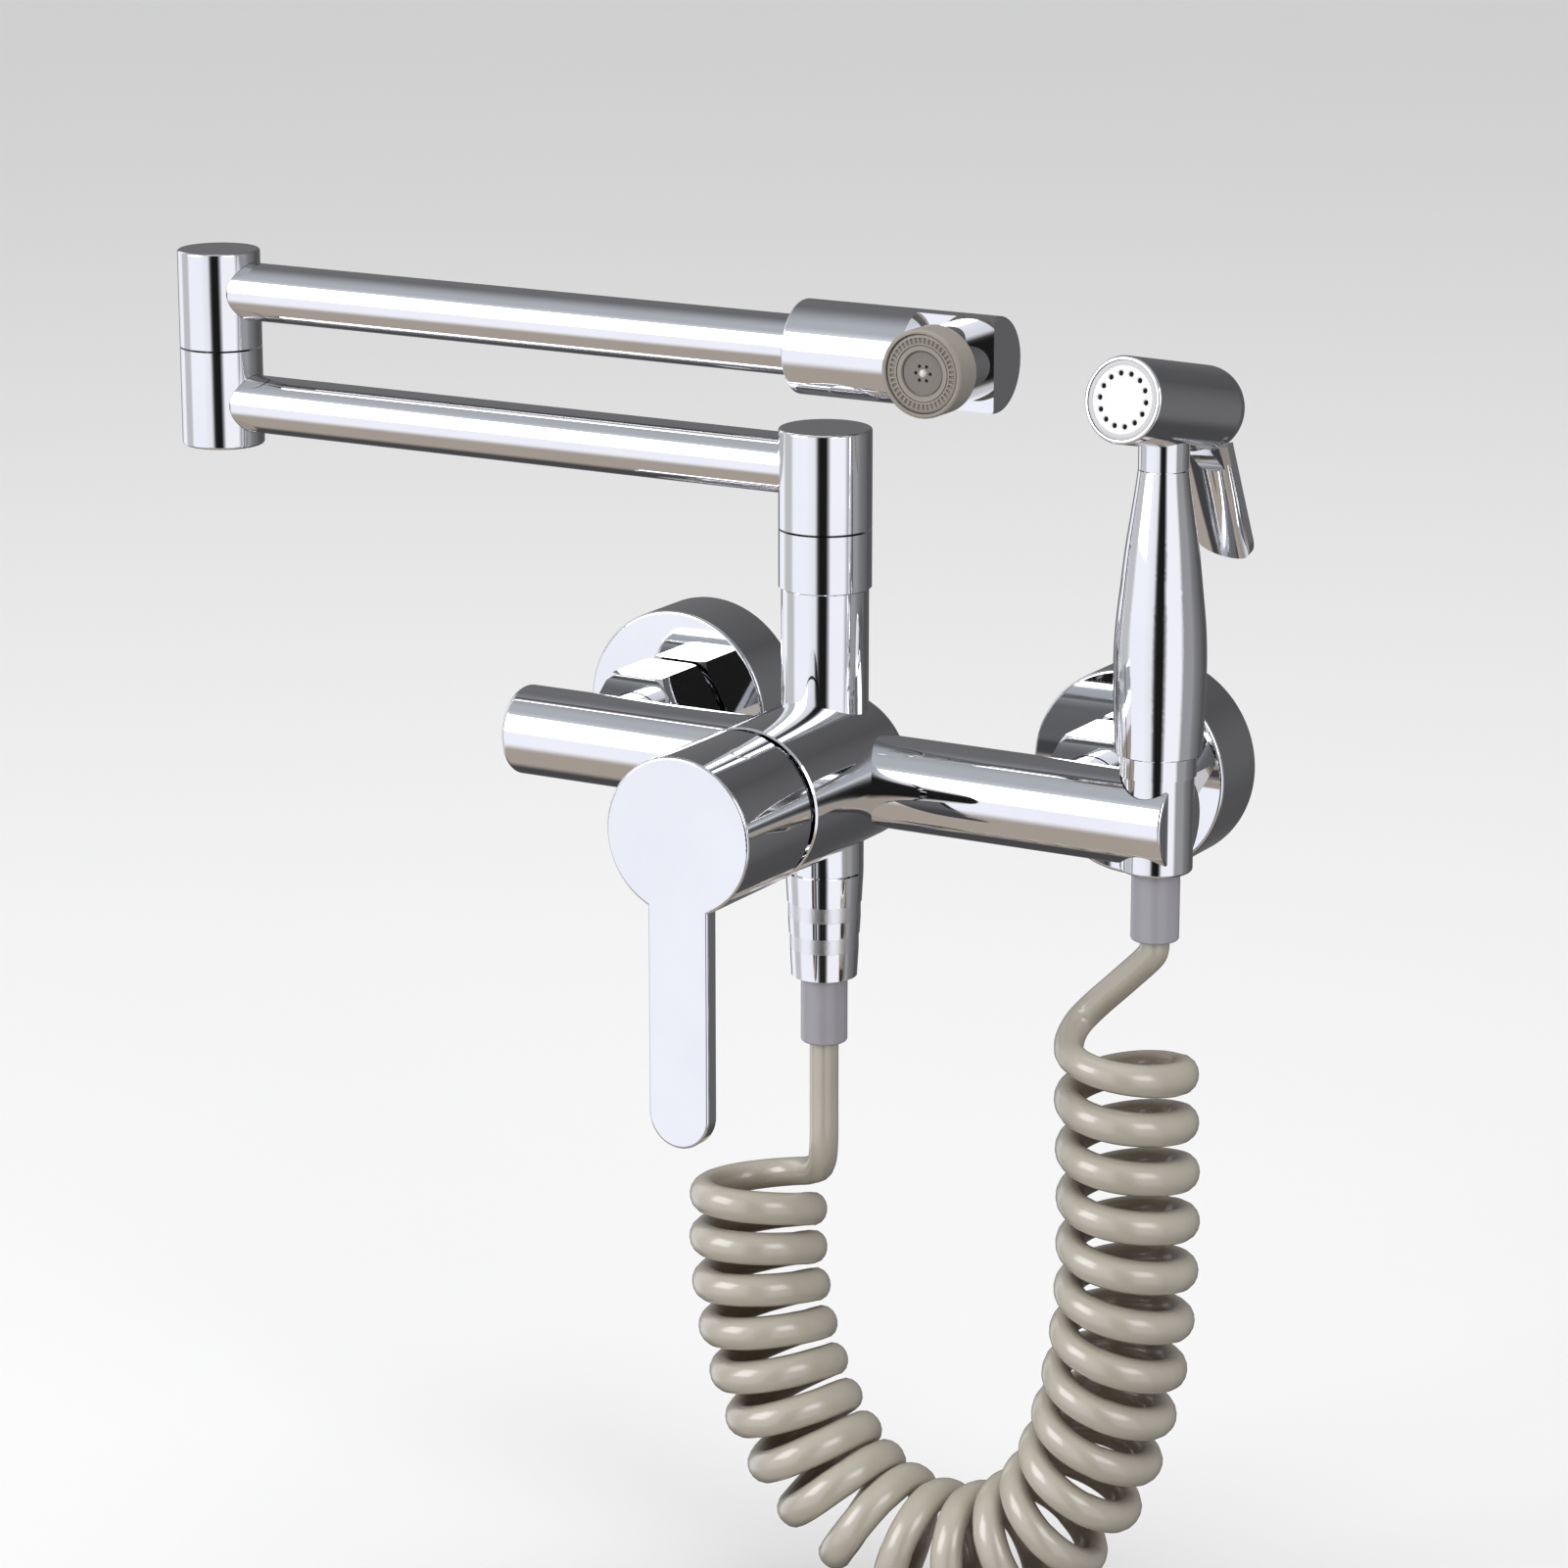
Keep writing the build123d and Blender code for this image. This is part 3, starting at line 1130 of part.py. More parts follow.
def coil_climb(turned):
    """How far the coil has come along its line: its turns stand apart at the bottom of the U."""
    slack = coil_bottom_pitch * coil_bottom_width * tanh((turned - coil_bottom_at) / coil_bottom_width)
    return coil_first_pitch * turned + (coil_last_pitch - coil_first_pitch) * turned**2 / 2 + slack


def coil_point(angle):
    turned = (angle - coil_start) / (coil_end - coil_start)
    share = (coil_climb(turned) - coil_climb(0)) / (coil_climb(1) - coil_climb(0))
    heading = coil_axis.line % share
    inward = heading.cross(Vector(0, 1, 0)).normalized()
    depth = inward.cross(heading)
    # The first turns lean where the hose pulls them up
    lean = coil_lean_back * sin(angle) - coil_lean_side * cos(angle)
    lean *= exp(-((turned / coil_lean_width) ** 2))
    around = inward * cos(angle) + depth * sin(angle)
    return coil_axis.line @ share + around * coil_radius + heading * lean


def coil_heading(angle):
    ahead = min(angle + 0.01, coil_end)
    back = max(angle - 0.01, coil_start)
    return (coil_point(ahead) - coil_point(back)).normalized()


down = Vector(0, 0, -1)
hose_start = Vector(0, -bar_reach, -sleeve_bottom)
hose_end = Vector(holder_x, -bar_reach, -sprayer_sleeve_bottom - loose_fit)
hose_corner = hose_end + down * hose_rise_corner
rise_heading = (hose_corner - Vector(*hose_rise)).normalized()
hose_turn_up = hose_corner - rise_heading * hose_rise_corner
half_turns = round((coil_end - coil_start) / pi)
turn_angles = [coil_start + (coil_end - coil_start) * i / half_turns for i in range(half_turns + 1)]

with BuildPart() as coil_hose:
    with BuildLine() as hose_path:
        Line(hose_start, hose_drop)
        biarc(Vector(*hose_drop), down, coil_point(coil_start), coil_heading(coil_start))
        for begin, finish in zip(turn_angles, turn_angles[1:]):
            biarc(coil_point(begin), coil_heading(begin), coil_point(finish), coil_heading(finish))
        biarc(coil_point(coil_end), coil_heading(coil_end), Vector(*hose_rise), rise_heading)
        Line(hose_rise, hose_turn_up)
        TangentArc(hose_turn_up, hose_end, tangent=rise_heading)
    with BuildSketch(Plane(hose_start, z_dir=down)):
        Circle(hose_d / 2)
    sweep()
save(coil_hose, "coil_hose")

hose_line = hose_path.wires()[0]
hose_points = [tuple(hose_line @ (i / 1500)) for i in range(1501)]
skip = int(3 * hose_d / hose_line.length * 1500)
nearest = min(
    (ax - bx) ** 2 + (ay - by) ** 2 + (az - bz) ** 2
    for i, (ax, ay, az) in enumerate(hose_points)
    for bx, by, bz in hose_points[i + skip :]
)
tightest = min(edge.radius for edge in hose_path.edges().filter_by(GeomType.CIRCLE))
print(f"coiled hose: {hose_line.length:.0f} mm long, least gap {sqrt(nearest) - hose_d:.2f} mm")
print(f"coiled hose: tightest bend radius {tightest:.1f} mm, valid {coil_hose.part.is_valid}")
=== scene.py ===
# %% [markdown]
# # A wall mixer with a folding spout and a hand sprayer
# The mixer's solids are already made and packed, with their joints. Here they get their looks: a finish for
# every piece, the coiled hose, the fine detail of the outlet and the spray face, the valve's spring, the
# pipe threads, and a plain studio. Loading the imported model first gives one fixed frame: the wall is the
# plane Y = 0, Z is up, and lengths are in metres.

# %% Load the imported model
import json
from math import atan2, cos, exp, hypot, pi, radians, sin, sqrt, tanh, tau

import bmesh
import bpy
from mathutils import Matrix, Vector
from mathutils.geometry import tessellate_polygon


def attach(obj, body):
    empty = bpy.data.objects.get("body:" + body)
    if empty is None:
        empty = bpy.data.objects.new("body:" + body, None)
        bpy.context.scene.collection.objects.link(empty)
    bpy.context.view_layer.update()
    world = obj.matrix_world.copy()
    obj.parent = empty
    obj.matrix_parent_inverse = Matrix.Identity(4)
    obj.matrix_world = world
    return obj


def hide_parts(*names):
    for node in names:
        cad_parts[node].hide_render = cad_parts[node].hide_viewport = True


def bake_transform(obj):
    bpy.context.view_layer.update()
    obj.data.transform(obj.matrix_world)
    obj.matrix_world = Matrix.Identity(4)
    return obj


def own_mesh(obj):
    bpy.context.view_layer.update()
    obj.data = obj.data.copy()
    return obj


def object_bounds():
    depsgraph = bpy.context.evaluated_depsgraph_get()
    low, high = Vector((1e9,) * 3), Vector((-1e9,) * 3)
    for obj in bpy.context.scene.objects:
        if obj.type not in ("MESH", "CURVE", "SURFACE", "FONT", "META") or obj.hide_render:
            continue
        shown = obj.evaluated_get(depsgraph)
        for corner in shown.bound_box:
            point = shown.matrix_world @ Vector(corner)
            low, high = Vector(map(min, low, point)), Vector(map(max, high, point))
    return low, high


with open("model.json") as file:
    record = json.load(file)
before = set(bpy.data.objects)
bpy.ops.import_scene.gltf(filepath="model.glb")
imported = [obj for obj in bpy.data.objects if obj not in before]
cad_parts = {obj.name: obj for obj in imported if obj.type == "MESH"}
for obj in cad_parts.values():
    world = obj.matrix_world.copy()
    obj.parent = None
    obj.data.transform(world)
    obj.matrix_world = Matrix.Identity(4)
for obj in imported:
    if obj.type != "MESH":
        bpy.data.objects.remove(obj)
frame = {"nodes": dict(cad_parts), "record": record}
cad_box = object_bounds()
nodes = frame["nodes"]
scene = bpy.context.scene
print("nodes", len(nodes), "box", [[round(v, 4) for v in corner] for corner in cad_box])

# %% [markdown]
# ## Camera
# The photograph was taken from the right of the mixer and a little above it, from well back with a long
# lens. The two inlets stand 150 mm apart, and that fixes the camera's place, turn and lens.

# %% Camera
camera = bpy.data.objects.new("camera", bpy.data.cameras.new("camera"))
camera.location = (0.68418, -1.27517, 0.36473)
camera.rotation_euler = (radians(75.17), 0, radians(29.94))
camera.data.lens = 115.8
camera.data.sensor_width = 36
camera.data.clip_start = 0.05
scene.collection.objects.link(camera)
scene.camera = camera
print("camera", tuple(camera.location), "lens", camera.data.lens)

# %% [markdown]
# ## Coiled hose
# A kitchen sprayer hangs on a plastic hose that was wound hot, so it springs back into a coil. The coil
# itself hangs in a U between the mixer and the sprayer. One way would be a Screw modifier bent by a curve,
# but its ends would not meet the two sleeves. Instead a smooth NURBS line gives the U, points read from it
# give the turns, and those points are again control points of one NURBS line: the hose's own centreline.


# %% A smooth line steered by control points
def smooth_line(name, points, steps):
    """Points along a NURBS line that its control points steer, from the first of them to the last."""
    data = bpy.data.curves.new(name, "CURVE")
    data.dimensions = "3D"
    spline = data.splines.new("NURBS")
    spline.points.add(len(points) - 1)
    for control, point in zip(spline.points, points):
        control.co = (*point, 1)
    spline.order_u = 3
    spline.use_endpoint_u = True
    spline.resolution_u = steps
    holder = bpy.data.objects.new(name, data)
    mesh = bpy.data.meshes.new_from_object(holder)
    line = [vertex.co.copy() for vertex in mesh.vertices]
    bpy.data.objects.remove(holder)
    bpy.data.curves.remove(data)
    bpy.data.meshes.remove(mesh)
    return line


route_steps = 24
coil_route = smooth_line(
    "coil_route",
    [
        (-0.0215, -0.0640, -0.1250),
        (-0.0225, -0.0640, -0.1365),
        (-0.0215, -0.0640, -0.1600),
        (-0.0160, -0.0640, -0.1830),
        (-0.0060, -0.0640, -0.2040),
        (0.0100, -0.0640, -0.2215),
        (0.0320, -0.0640, -0.2305),
        (0.0555, -0.0640, -0.2285),
        (0.0755, -0.0640, -0.2150),
        (0.0870, -0.0640, -0.1945),
        (0.0935, -0.0640, -0.1720),
        (0.0975, -0.0640, -0.1490),
        (0.0985, -0.0640, -0.1255),
        (0.0980, -0.0640, -0.1025),
        (0.0970, -0.0640, -0.0790),
        (0.0970, -0.0640, -0.0675),
    ],
    route_steps,
)
route_reach = [0.0]
for before, after in zip(coil_route, coil_route[1:]):
    route_reach.append(route_reach[-1] + (after - before).length)
print("coil route", len(coil_route), "points", round(route_reach[-1], 4), "m")

# %% Points of the turns
coil_radius = 0.0163
coil_turns = 23
points_in_turn = 24
first_angle = radians(60)
last_angle = tau * coil_turns - radians(30)
even_share, late_share = 0.88, 0.07
loose_share, loose_place, loose_width = 0.32, 0.47, 0.09


def climb(turned):
    """How far along the U the coil has come: its turns stand apart at the bottom."""
    bottom = loose_share * loose_width * tanh((turned - loose_place) / loose_width)
    return even_share * turned + late_share * turned**2 + bottom


def place_on_route(share):
    """The point of the U at this share of its length, and the way that the U runs there."""
    reach = share * route_reach[-1]
    i = next((i for i, far in enumerate(route_reach[1:]) if far >= reach), len(coil_route) - 2)
    along = (reach - route_reach[i]) / (route_reach[i + 1] - route_reach[i])
    before, after = coil_route[max(i - 2, 0)], coil_route[min(i + 3, len(coil_route) - 1)]
    return coil_route[i].lerp(coil_route[i + 1], along), (after - before).normalized()


# The first turns lie askew on the coil, and the next few settle.
lean_back, lean_right, lean_fade = 0.0030, 0.0032, 0.17
turn_points = []
for i in range(round((last_angle - first_angle) / tau * points_in_turn) + 1):
    angle = first_angle + i * tau / points_in_turn
    turned = (angle - first_angle) / (last_angle - first_angle)
    middle, heading = place_on_route((climb(turned) - climb(0)) / (climb(1) - climb(0)))
    inward = heading.cross((0, 1, 0)).normalized()
    depth = inward.cross(heading)
    around = cos(angle) * inward + sin(angle) * depth
    lean = (lean_back * sin(angle) - lean_right * cos(angle)) * exp(-((turned / lean_fade) ** 2))
    turn_points.append(middle + coil_radius * around + lean * heading)
print("turn points", len(turn_points), "first", turn_points[0], "last", turn_points[-1])

# %% The hose's centreline, from sleeve to sleeve
hose_exit = (0, -0.064, -0.080)
lead_in = [
    hose_exit,
    (0, -0.0640, -0.0900),
    (0, -0.0640, -0.1000),
    (0, -0.0639, -0.1090),
    (-0.0009, -0.0626, -0.1150),
    (-0.0034, -0.0594, -0.1198),
    (-0.0066, -0.0557, -0.1229),
    (-0.0100, -0.0524, -0.1247),
]
lead_out = [
    (0.0808, -0.0672, -0.0657),
    (0.0806, -0.0626, -0.0630),
    (0.0826, -0.0600, -0.0600),
    (0.0868, -0.0599, -0.0556),
    (0.0920, -0.0612, -0.0508),
    (0.0972, -0.0624, -0.0458),
    (0.1020, -0.0634, -0.0412),
    (0.1045, -0.0639, -0.0384),
    (0.1050, -0.0640, -0.0368),
    (0.1050, -0.0640, -0.0355),
    (0.1050, -0.0640, -0.0342),
]
line_steps = 3
hose_line = smooth_line("hose_line", lead_in + turn_points + lead_out, line_steps)
hose_length = sum((b - a).length for a, b in zip(hose_line, hose_line[1:]))
print("hose line", len(hose_line), "points", round(hose_length, 3), "m")

# %% [markdown]
# ## Hose tube
# A bevelled curve would have a round section everywhere. Winding flattens this hose: each turn is a little
# wider along the coil than across it, and touches no neighbour. So the tube is a mesh: rings of points that
# travel along the line without twisting, each ring shaped to the room its turn has. Every point also keeps
# how far it lies on the inner side of its turn, because painted shade darkens the finish there.

# %% Helpers for the tube
steps_in_turn = line_steps * points_in_turn
coil_begin = line_steps * len(lead_in)
coil_finish = len(hose_line) - line_steps * len(lead_out)
room_limit, room_search = 0.03, 6


def ease(x):
    """A smooth rise from 0 to 1."""
    x = min(max(x, 0), 1)
    return x * x * (3 - 2 * x)


def heading_at(line, i):
    """The way that a line of points runs at its point i."""
    return (line[min(i + 1, len(line) - 1)] - line[max(i - 1, 0)]).normalized()


def turn_room(i):
    """How far the hose's point i is from the turn before it and the turn after it."""
    near = [room_limit]
    for j in (i - steps_in_turn, i + steps_in_turn):
        beside = hose_line[max(j - room_search, 0) : max(j + room_search + 1, 0)]
        near += [(hose_line[i] - other).length for other in beside]
    return min(near)


print("coil from ring", coil_begin, "to", coil_finish)

# %% Hose tube
hose_d = 0.0084
flat_width, flat_height = 0.0099, 0.0083
room_share = 0.95
shade_start, shade_fall = 0.25, 0.9
ring_sides = 16
half_turn = steps_in_turn / 2
route_samples = coil_route[::4]
rings = []
painted_shade_amounts = []
side = None
for i, point in enumerate(hose_line):
    heading = heading_at(hose_line, i)
    side = heading.orthogonal() if side is None else side
    side = (side - heading * side.dot(heading)).normalized()
    other = heading.cross(side)
    nearest = min(route_samples, key=lambda middle: (middle - point).length_squared)
    out = point - nearest
    out = (out - heading * out.dot(heading)).normalized()
    wound = ease((i - coil_begin) / half_turn) * ease((coil_finish - i) / half_turn)
    width = hose_d + wound * (min(flat_width, room_share * turn_room(i)) - hose_d)
    height = hose_d + wound * (flat_height - hose_d)
    ring = []
    for k in range(ring_sides):
        around = tau * k / ring_sides
        way = cos(around) * side + sin(around) * other
        across = way.dot(out)
        # Painted shade: how far this point lies on the inner side of its turn, where the hose is painted
        # darker.
        painted_shade_amounts.append(wound * ease(shade_start - shade_fall * across))
        along = way.dot(heading.cross(out))
        reach = 0.5 / sqrt((across / height) ** 2 + (along / width) ** 2)
        ring.append(point + way * reach)
    rings.append(ring)
print("hose rings", len(rings), "of", ring_sides, "points")


# %% From rings of points to a skin, and from a skin to a piece
sharp_corner = radians(35)


def skin(built, rings):
    """Join each ring of points to the next, and give the rings back as vertices."""
    loops = [[built.verts.new(point) for point in ring] for ring in rings]
    for before, after in zip(loops, loops[1:]):
        for k in range(len(before)):
            built.faces.new((before[k - 1], before[k], after[k], after[k - 1]))
    return loops


def add_piece(name, built):
    """Finish a skin: normals out, and soft shading with the sharp corners kept."""
    bmesh.ops.recalc_face_normals(built, faces=built.faces)
    for face in built.faces:
        face.smooth = True
    for edge in built.edges:
        edge.smooth = edge.calc_face_angle(pi) < sharp_corner
    mesh = bpy.data.meshes.new(name)
    built.to_mesh(mesh)
    built.free()
    piece = bpy.data.objects.new(name, mesh)
    scene.collection.objects.link(piece)
    return piece


print("skin helpers ready")

# %% Hose
hose_mesh = bmesh.new()
painted_shade_layer = hose_mesh.verts.layers.float.new("inner_side")
hose_loops = skin(hose_mesh, rings)
for vertex, inner_side in zip((v for loop in hose_loops for v in loop), painted_shade_amounts):
    vertex[painted_shade_layer] = inner_side
hose_mesh.faces.new(hose_loops[0])
hose_mesh.faces.new(hose_loops[-1])
hose = add_piece("wound_hose", hose_mesh)
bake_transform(hose)
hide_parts("coil_hose")

# %% [markdown]
# ## Outlet insert
# The water leaves through a moulded insert: a toothed rim for its key, rings with deep grooves between them
# that break the stream, and a pierced core with a small domed pin, painted pale in part as a painted
# highlight. A Boolean cut for each groove would leave ragged faces. The insert is turned, so rings of points
# along one profile give clean, sharp steps, and only the core, which has round holes, is filled by a
# tessellated polygon.


# %% Helpers for turned pieces
millimetre = 0.001
opening_sides = 20


def lathe(origin, across, rise, inward):
    """Places on a turned piece by radius, angle about the axis and depth along it, in millimetres."""
    origin, across, rise, inward = (Vector(v) for v in (origin, across, rise, inward))

    def place(radius, angle, depth):
        return origin + millimetre * (radius * (cos(angle) * across + sin(angle) * rise) + depth * inward)

    return place


def turned_rings(place, rows, sides):
    """One ring of points for each row: its radius and its depth, which may vary around the ring."""
    return [
        [place(radius, tau * k / sides, depth(k) if callable(depth) else depth) for k in range(sides)]
        for radius, depth in rows
    ]


def fill_pierced(built, rim, place, openings):
    """Fill a rim with a flat face that has round openings, each turned from its own rows."""
    angles = [tau * k / opening_sides for k in range(opening_sides)]
    outlines = [rim]
    for ring_radius, ring_angle, rows in openings:
        x, y = ring_radius * cos(ring_angle), ring_radius * sin(ring_angle)
        loops = []
        for radius, depth in rows:
            spots = [(x + radius * cos(angle), y + radius * sin(angle)) for angle in angles]
            loops.append([place(hypot(*spot), atan2(spot[1], spot[0]), depth) for spot in spots])
        loops = skin(built, loops)
        built.faces.new(loops[-1])
        outlines.append(loops[0])
    corners = [vertex for outline in outlines for vertex in outline]
    for face in tessellate_polygon([[vertex.co for vertex in outline] for outline in outlines]):
        built.faces.new([corners[k] for k in face])


print("lathe helpers ready")


# %% Outlet insert
outlet_middle = (0.0426, -0.0865, 0.1222)
insert_sides, tooth_depth = 168, 0.6
core_holes, core_ring = 6, 2.2


def tooth(k):
    """The rim's teeth: two points of each four stand out, and the other two lie back."""
    return 0.0 if k % 4 in (1, 2) else tooth_depth


outlet_place = lathe(outlet_middle, (1, 0, 0), (0, 0, 1), (0, 1, 0))
insert_rows = [
    (11.04, 7.3),
    (11.04, 0.8),
    (10.86, 0.35),
    (10.45, 0.08),
    (9.95, 0.0),
    (9.90, tooth),
    (8.45, tooth),
    (8.40, 0.05),
    (7.95, 0.05),
    (7.95, 0.6),
    (7.65, 0.6),
    (7.65, 0.1),
    (6.40, 0.1),
    (6.25, 1.1),
    (5.90, 1.1),
    (5.90, 0.7),
]
insert_mesh = bmesh.new()
insert_loops = skin(insert_mesh, turned_rings(outlet_place, insert_rows, insert_sides))
insert_mesh.faces.new(insert_loops[0])
core_hole = [(0.5, 0.7), (0.5, 2.6)]
core_pin = [(0.95, 0.7), (0.93, 0.4), (0.8, 0.15), (0.5, 0.02)]
core_openings = [(core_ring, tau * k / core_holes, core_hole) for k in range(core_holes)]
core_openings.append((0.0, 0.0, core_pin))
fill_pierced(insert_mesh, insert_loops[-1], outlet_place, core_openings)
print("outlet insert", len(insert_mesh.faces), "faces")
outlet_insert = add_piece("toothed_insert", insert_mesh)
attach(outlet_insert, "outlet")
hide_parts("aerator_insert")

# %% [markdown]
# ## Spray face
# The sprayer's face is a white moulded disc with a softened edge, a fine ring line and fourteen
# countersunk holes. It is turned in the same way, on the head's tilted axis.

# %% Spray face
face_normal = Vector((-0.104075, -0.973854, 0.201933)).normalized()
face_across = Vector((0.99434, -0.10626, 0)).normalized()
head_middle, face_reach = Vector((0.105, -0.064, 0.116)), 0.022
face_sides, spray_holes, spray_ring = 96, 14, 7.2
face_front = head_middle + face_reach * face_normal
face_place = lathe(face_front, face_across, face_normal.cross(face_across), -face_normal)
face_rows = [
    (10.84, 2.0),
    (10.84, 0.35),
    (10.72, 0.10),
    (10.45, 0.0),
    (9.60, 0.0),
    (9.50, 0.15),
    (9.30, 0.15),
    (9.20, 0.0),
    (8.70, 0.0),
]
face_mesh = bmesh.new()
face_loops = skin(face_mesh, turned_rings(face_place, face_rows, face_sides))
face_mesh.faces.new(face_loops[0])
face_hole = [(0.95, 0.0), (0.70, 0.25), (0.70, 1.6)]
face_openings = [(spray_ring, tau * k / spray_holes, face_hole) for k in range(spray_holes)]
fill_pierced(face_mesh, face_loops[-1], face_place, face_openings)
print("spray face", len(face_mesh.faces), "faces")
pierced_face = add_piece("pierced_face", face_mesh)
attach(pierced_face, "sprayer")
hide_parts("spray_face")

# %% [markdown]
# ## Valve spring
# Behind the face a small steel spring closes the spray valve, and the trigger presses it together. A solid
# spring would stay stiff and cut into the valve's collar, so this one is a mesh of its own that rides with
# the sprayer.

# %% Valve spring
spring_radius, wire_radius, spring_turns = 3.1, 0.4, 3
spring_start, spring_height, spring_seat = 18.46, 5.08, 23.94
steps_round, wire_sides = 24, 10
spring_steps = steps_round * spring_turns
spring_place = lathe(head_middle, face_across, -face_normal.cross(face_across), -face_normal)
spring_line = [
    spring_place(spring_radius, tau * i / steps_round, spring_start + spring_height * i / spring_steps)
    for i in range(spring_steps + 1)
]
spring_rings = []
for i, point in enumerate(spring_line):
    heading = heading_at(spring_line, i)
    out = heading.cross(face_normal).normalized()
    other = heading.cross(out)
    angles = [tau * k / wire_sides for k in range(wire_sides)]
    ways = [cos(angle) * out + sin(angle) * other for angle in angles]
    spring_rings.append([point + millimetre * wire_radius * way for way in ways])
spring_mesh = bmesh.new()
spring_loops = skin(spring_mesh, spring_rings)
spring_mesh.faces.new(spring_loops[0])
spring_mesh.faces.new(spring_loops[-1])
print("valve spring", len(spring_mesh.faces), "faces")
pressed_spring = add_piece("pressed_spring", spring_mesh)
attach(pressed_spring, "sprayer")
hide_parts("valve_spring")
spring_anchor = spring_place(0, 0, spring_seat)
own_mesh(pressed_spring)

# %% [markdown]
# ## Threaded unions
# Each wall union is screwed into the pipe behind the wall, and the hexagonal nut screws onto its other end.
# A pipe thread is one ridge that climbs a pitch each turn, so the radius of every point follows from its
# angle and its place along the axis, and the ridge needs no sweep and no Boolean.


# %% Threads
thread_pitch, thread_depth, rows_in_pitch = 1.814, 1.16, 6
pipe_radius, nut_radius, bore_radius = 10.475, 13.2, 7.0
pipe_end, shoulder, nut_end = 18.0, -3.0, -36.0
union_sides = 48


def thread_cut(depth, turned, ends):
    """How far a point lies under the thread's crest. The thread is bevelled at both its ends."""
    groove = thread_depth * (0.5 - 0.5 * cos(tau * (depth / thread_pitch - turned)))
    edge = min(abs(depth - end) for end in ends)
    return max(groove, thread_depth - edge)


def union_rings(place):
    """Rings from the end in the wall to the end in the nut, and back through the bore."""
    rows = [(bore_radius, pipe_end, None)]
    for crest, begin, end in ((pipe_radius, pipe_end, shoulder), (nut_radius, shoulder, nut_end)):
        count = round((begin - end) / thread_pitch * rows_in_pitch)
        rows += [(crest, begin + (end - begin) * i / count, (begin, end)) for i in range(count + 1)]
    rows.append((bore_radius, nut_end, None))
    rings = []
    for crest, depth, ends in rows:
        ring = []
        for k in range(union_sides):
            cut = thread_cut(depth, k / union_sides, ends) if ends else 0.0
            ring.append(place(crest - cut, tau * k / union_sides, depth))
        rings.append(ring)
    rings.append(rings[0])
    return rings


print("thread helpers ready")

# %% Threaded unions
unions = []
half_spacing = 0.075
for side_name, x in (("left", -half_spacing), ("right", half_spacing)):
    union_mesh = bmesh.new()
    skin(union_mesh, union_rings(lathe((x, 0, 0), (1, 0, 0), (0, 0, 1), (0, 1, 0))))
    bmesh.ops.remove_doubles(union_mesh, verts=union_mesh.verts, dist=1e-6)
    union = add_piece(side_name + "_threaded_union", union_mesh)
    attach(union, "mixer")
    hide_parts(side_name + "_wall_union")
    unions.append(union)
print("threaded unions", [len(union.data.polygons) for union in unions])

# %% [markdown]
# ## Writing finishes as sums
# A finish is a small graph of nodes. Written node by node it is hard to read, so one class wraps a socket:
# adding or multiplying two of them adds a Math node, and one method makes every other kind of node.


# %% Sockets that can be added and multiplied
class Socket:
    def __init__(self, tree, socket=None):
        self.tree, self.socket = tree, socket

    def node(self, kind, settings=None, inputs=None, output=0):
        """Any node, by its type: its settings first, then the values or links of its sockets."""
        made = self.tree.nodes.new("ShaderNode" + kind)
        for name, value in (settings or {}).items():
            if name == "stops":
                stops = made.color_ramp.elements
                while len(stops) < len(value):
                    stops.new(0.5)
                for stop, (place, shade) in zip(stops, value):
                    stop.position = place
                    stop.color = (*shade, 1)
            else:
                setattr(made, name, value)
        for key, value in (inputs or {}).items():
            if isinstance(value, Socket):
                self.tree.links.new(value.socket, made.inputs[key])
            else:
                made.inputs[key].default_value = value
        return Socket(self.tree, made.outputs[output])

    def math(self, operation, *values):
        return self.node("Math", {"operation": operation}, dict(enumerate(values)))

    def step(self, low, high):
        """0 below low, 1 above high, and a smooth rise between them."""
        settings = {"interpolation_type": "SMOOTHSTEP"}
        return self.node("MapRange", settings, {"Value": self, "From Min": low, "From Max": high})

    def tint(self, low, high):
        """A colour from low, where this is 0, to high, where this is 1."""
        inputs = {"Factor": self, 6: self.colour(low), 7: self.colour(high)}
        return self.node("Mix", {"data_type": "RGBA"}, inputs, 2)

    def colour(self, value):
        return value if isinstance(value, Socket) else (*value, 1)

    def __add__(self, other):
        return self.math("ADD", self, other)

    def __sub__(self, other):
        return self.math("SUBTRACT", self, other)

    def __rsub__(self, other):
        return self.math("SUBTRACT", other, self)

    def __mul__(self, other):
        return self.math("MULTIPLY", self, other)

    __radd__ = __add__
    __rmul__ = __mul__


print("socket sums ready")


# %% A finish: one Principled shader with its constants, and what varies over it
def finish(name, constants, vary):
    material = bpy.data.materials.new(name)
    material.use_nodes = True
    tree = material.node_tree
    shader = tree.nodes["Principled BSDF"]
    for socket, value in constants.items():
        shader.inputs[socket].default_value = value
    place = Socket(tree).node("TexCoord", output="Object")
    for socket, value in vary(place).items():
        tree.links.new(value.socket, shader.inputs[socket])
    return material


def noise(place, scale, detail):
    return place.node("TexNoise", {}, {"Vector": place, "Scale": scale, "Detail": detail})


def bump(height, strength, distance):
    return height.node("Bump", {}, {"Height": height, "Strength": strength, "Distance": distance})


def axis(place, letter):
    return place.node("SeparateXYZ", {}, {"Vector": place}, letter)


print("finish helpers ready")

# %% [markdown]
# ## Chrome
# The mixer is cast and turned brass, polished and plated. Chrome is a mirror, so nearly all its look comes
# from the studio around it. What makes it real is small: the polish is not perfectly even, and the cast
# body keeps a faint waviness from the buffing wheel that bends long reflections a little.


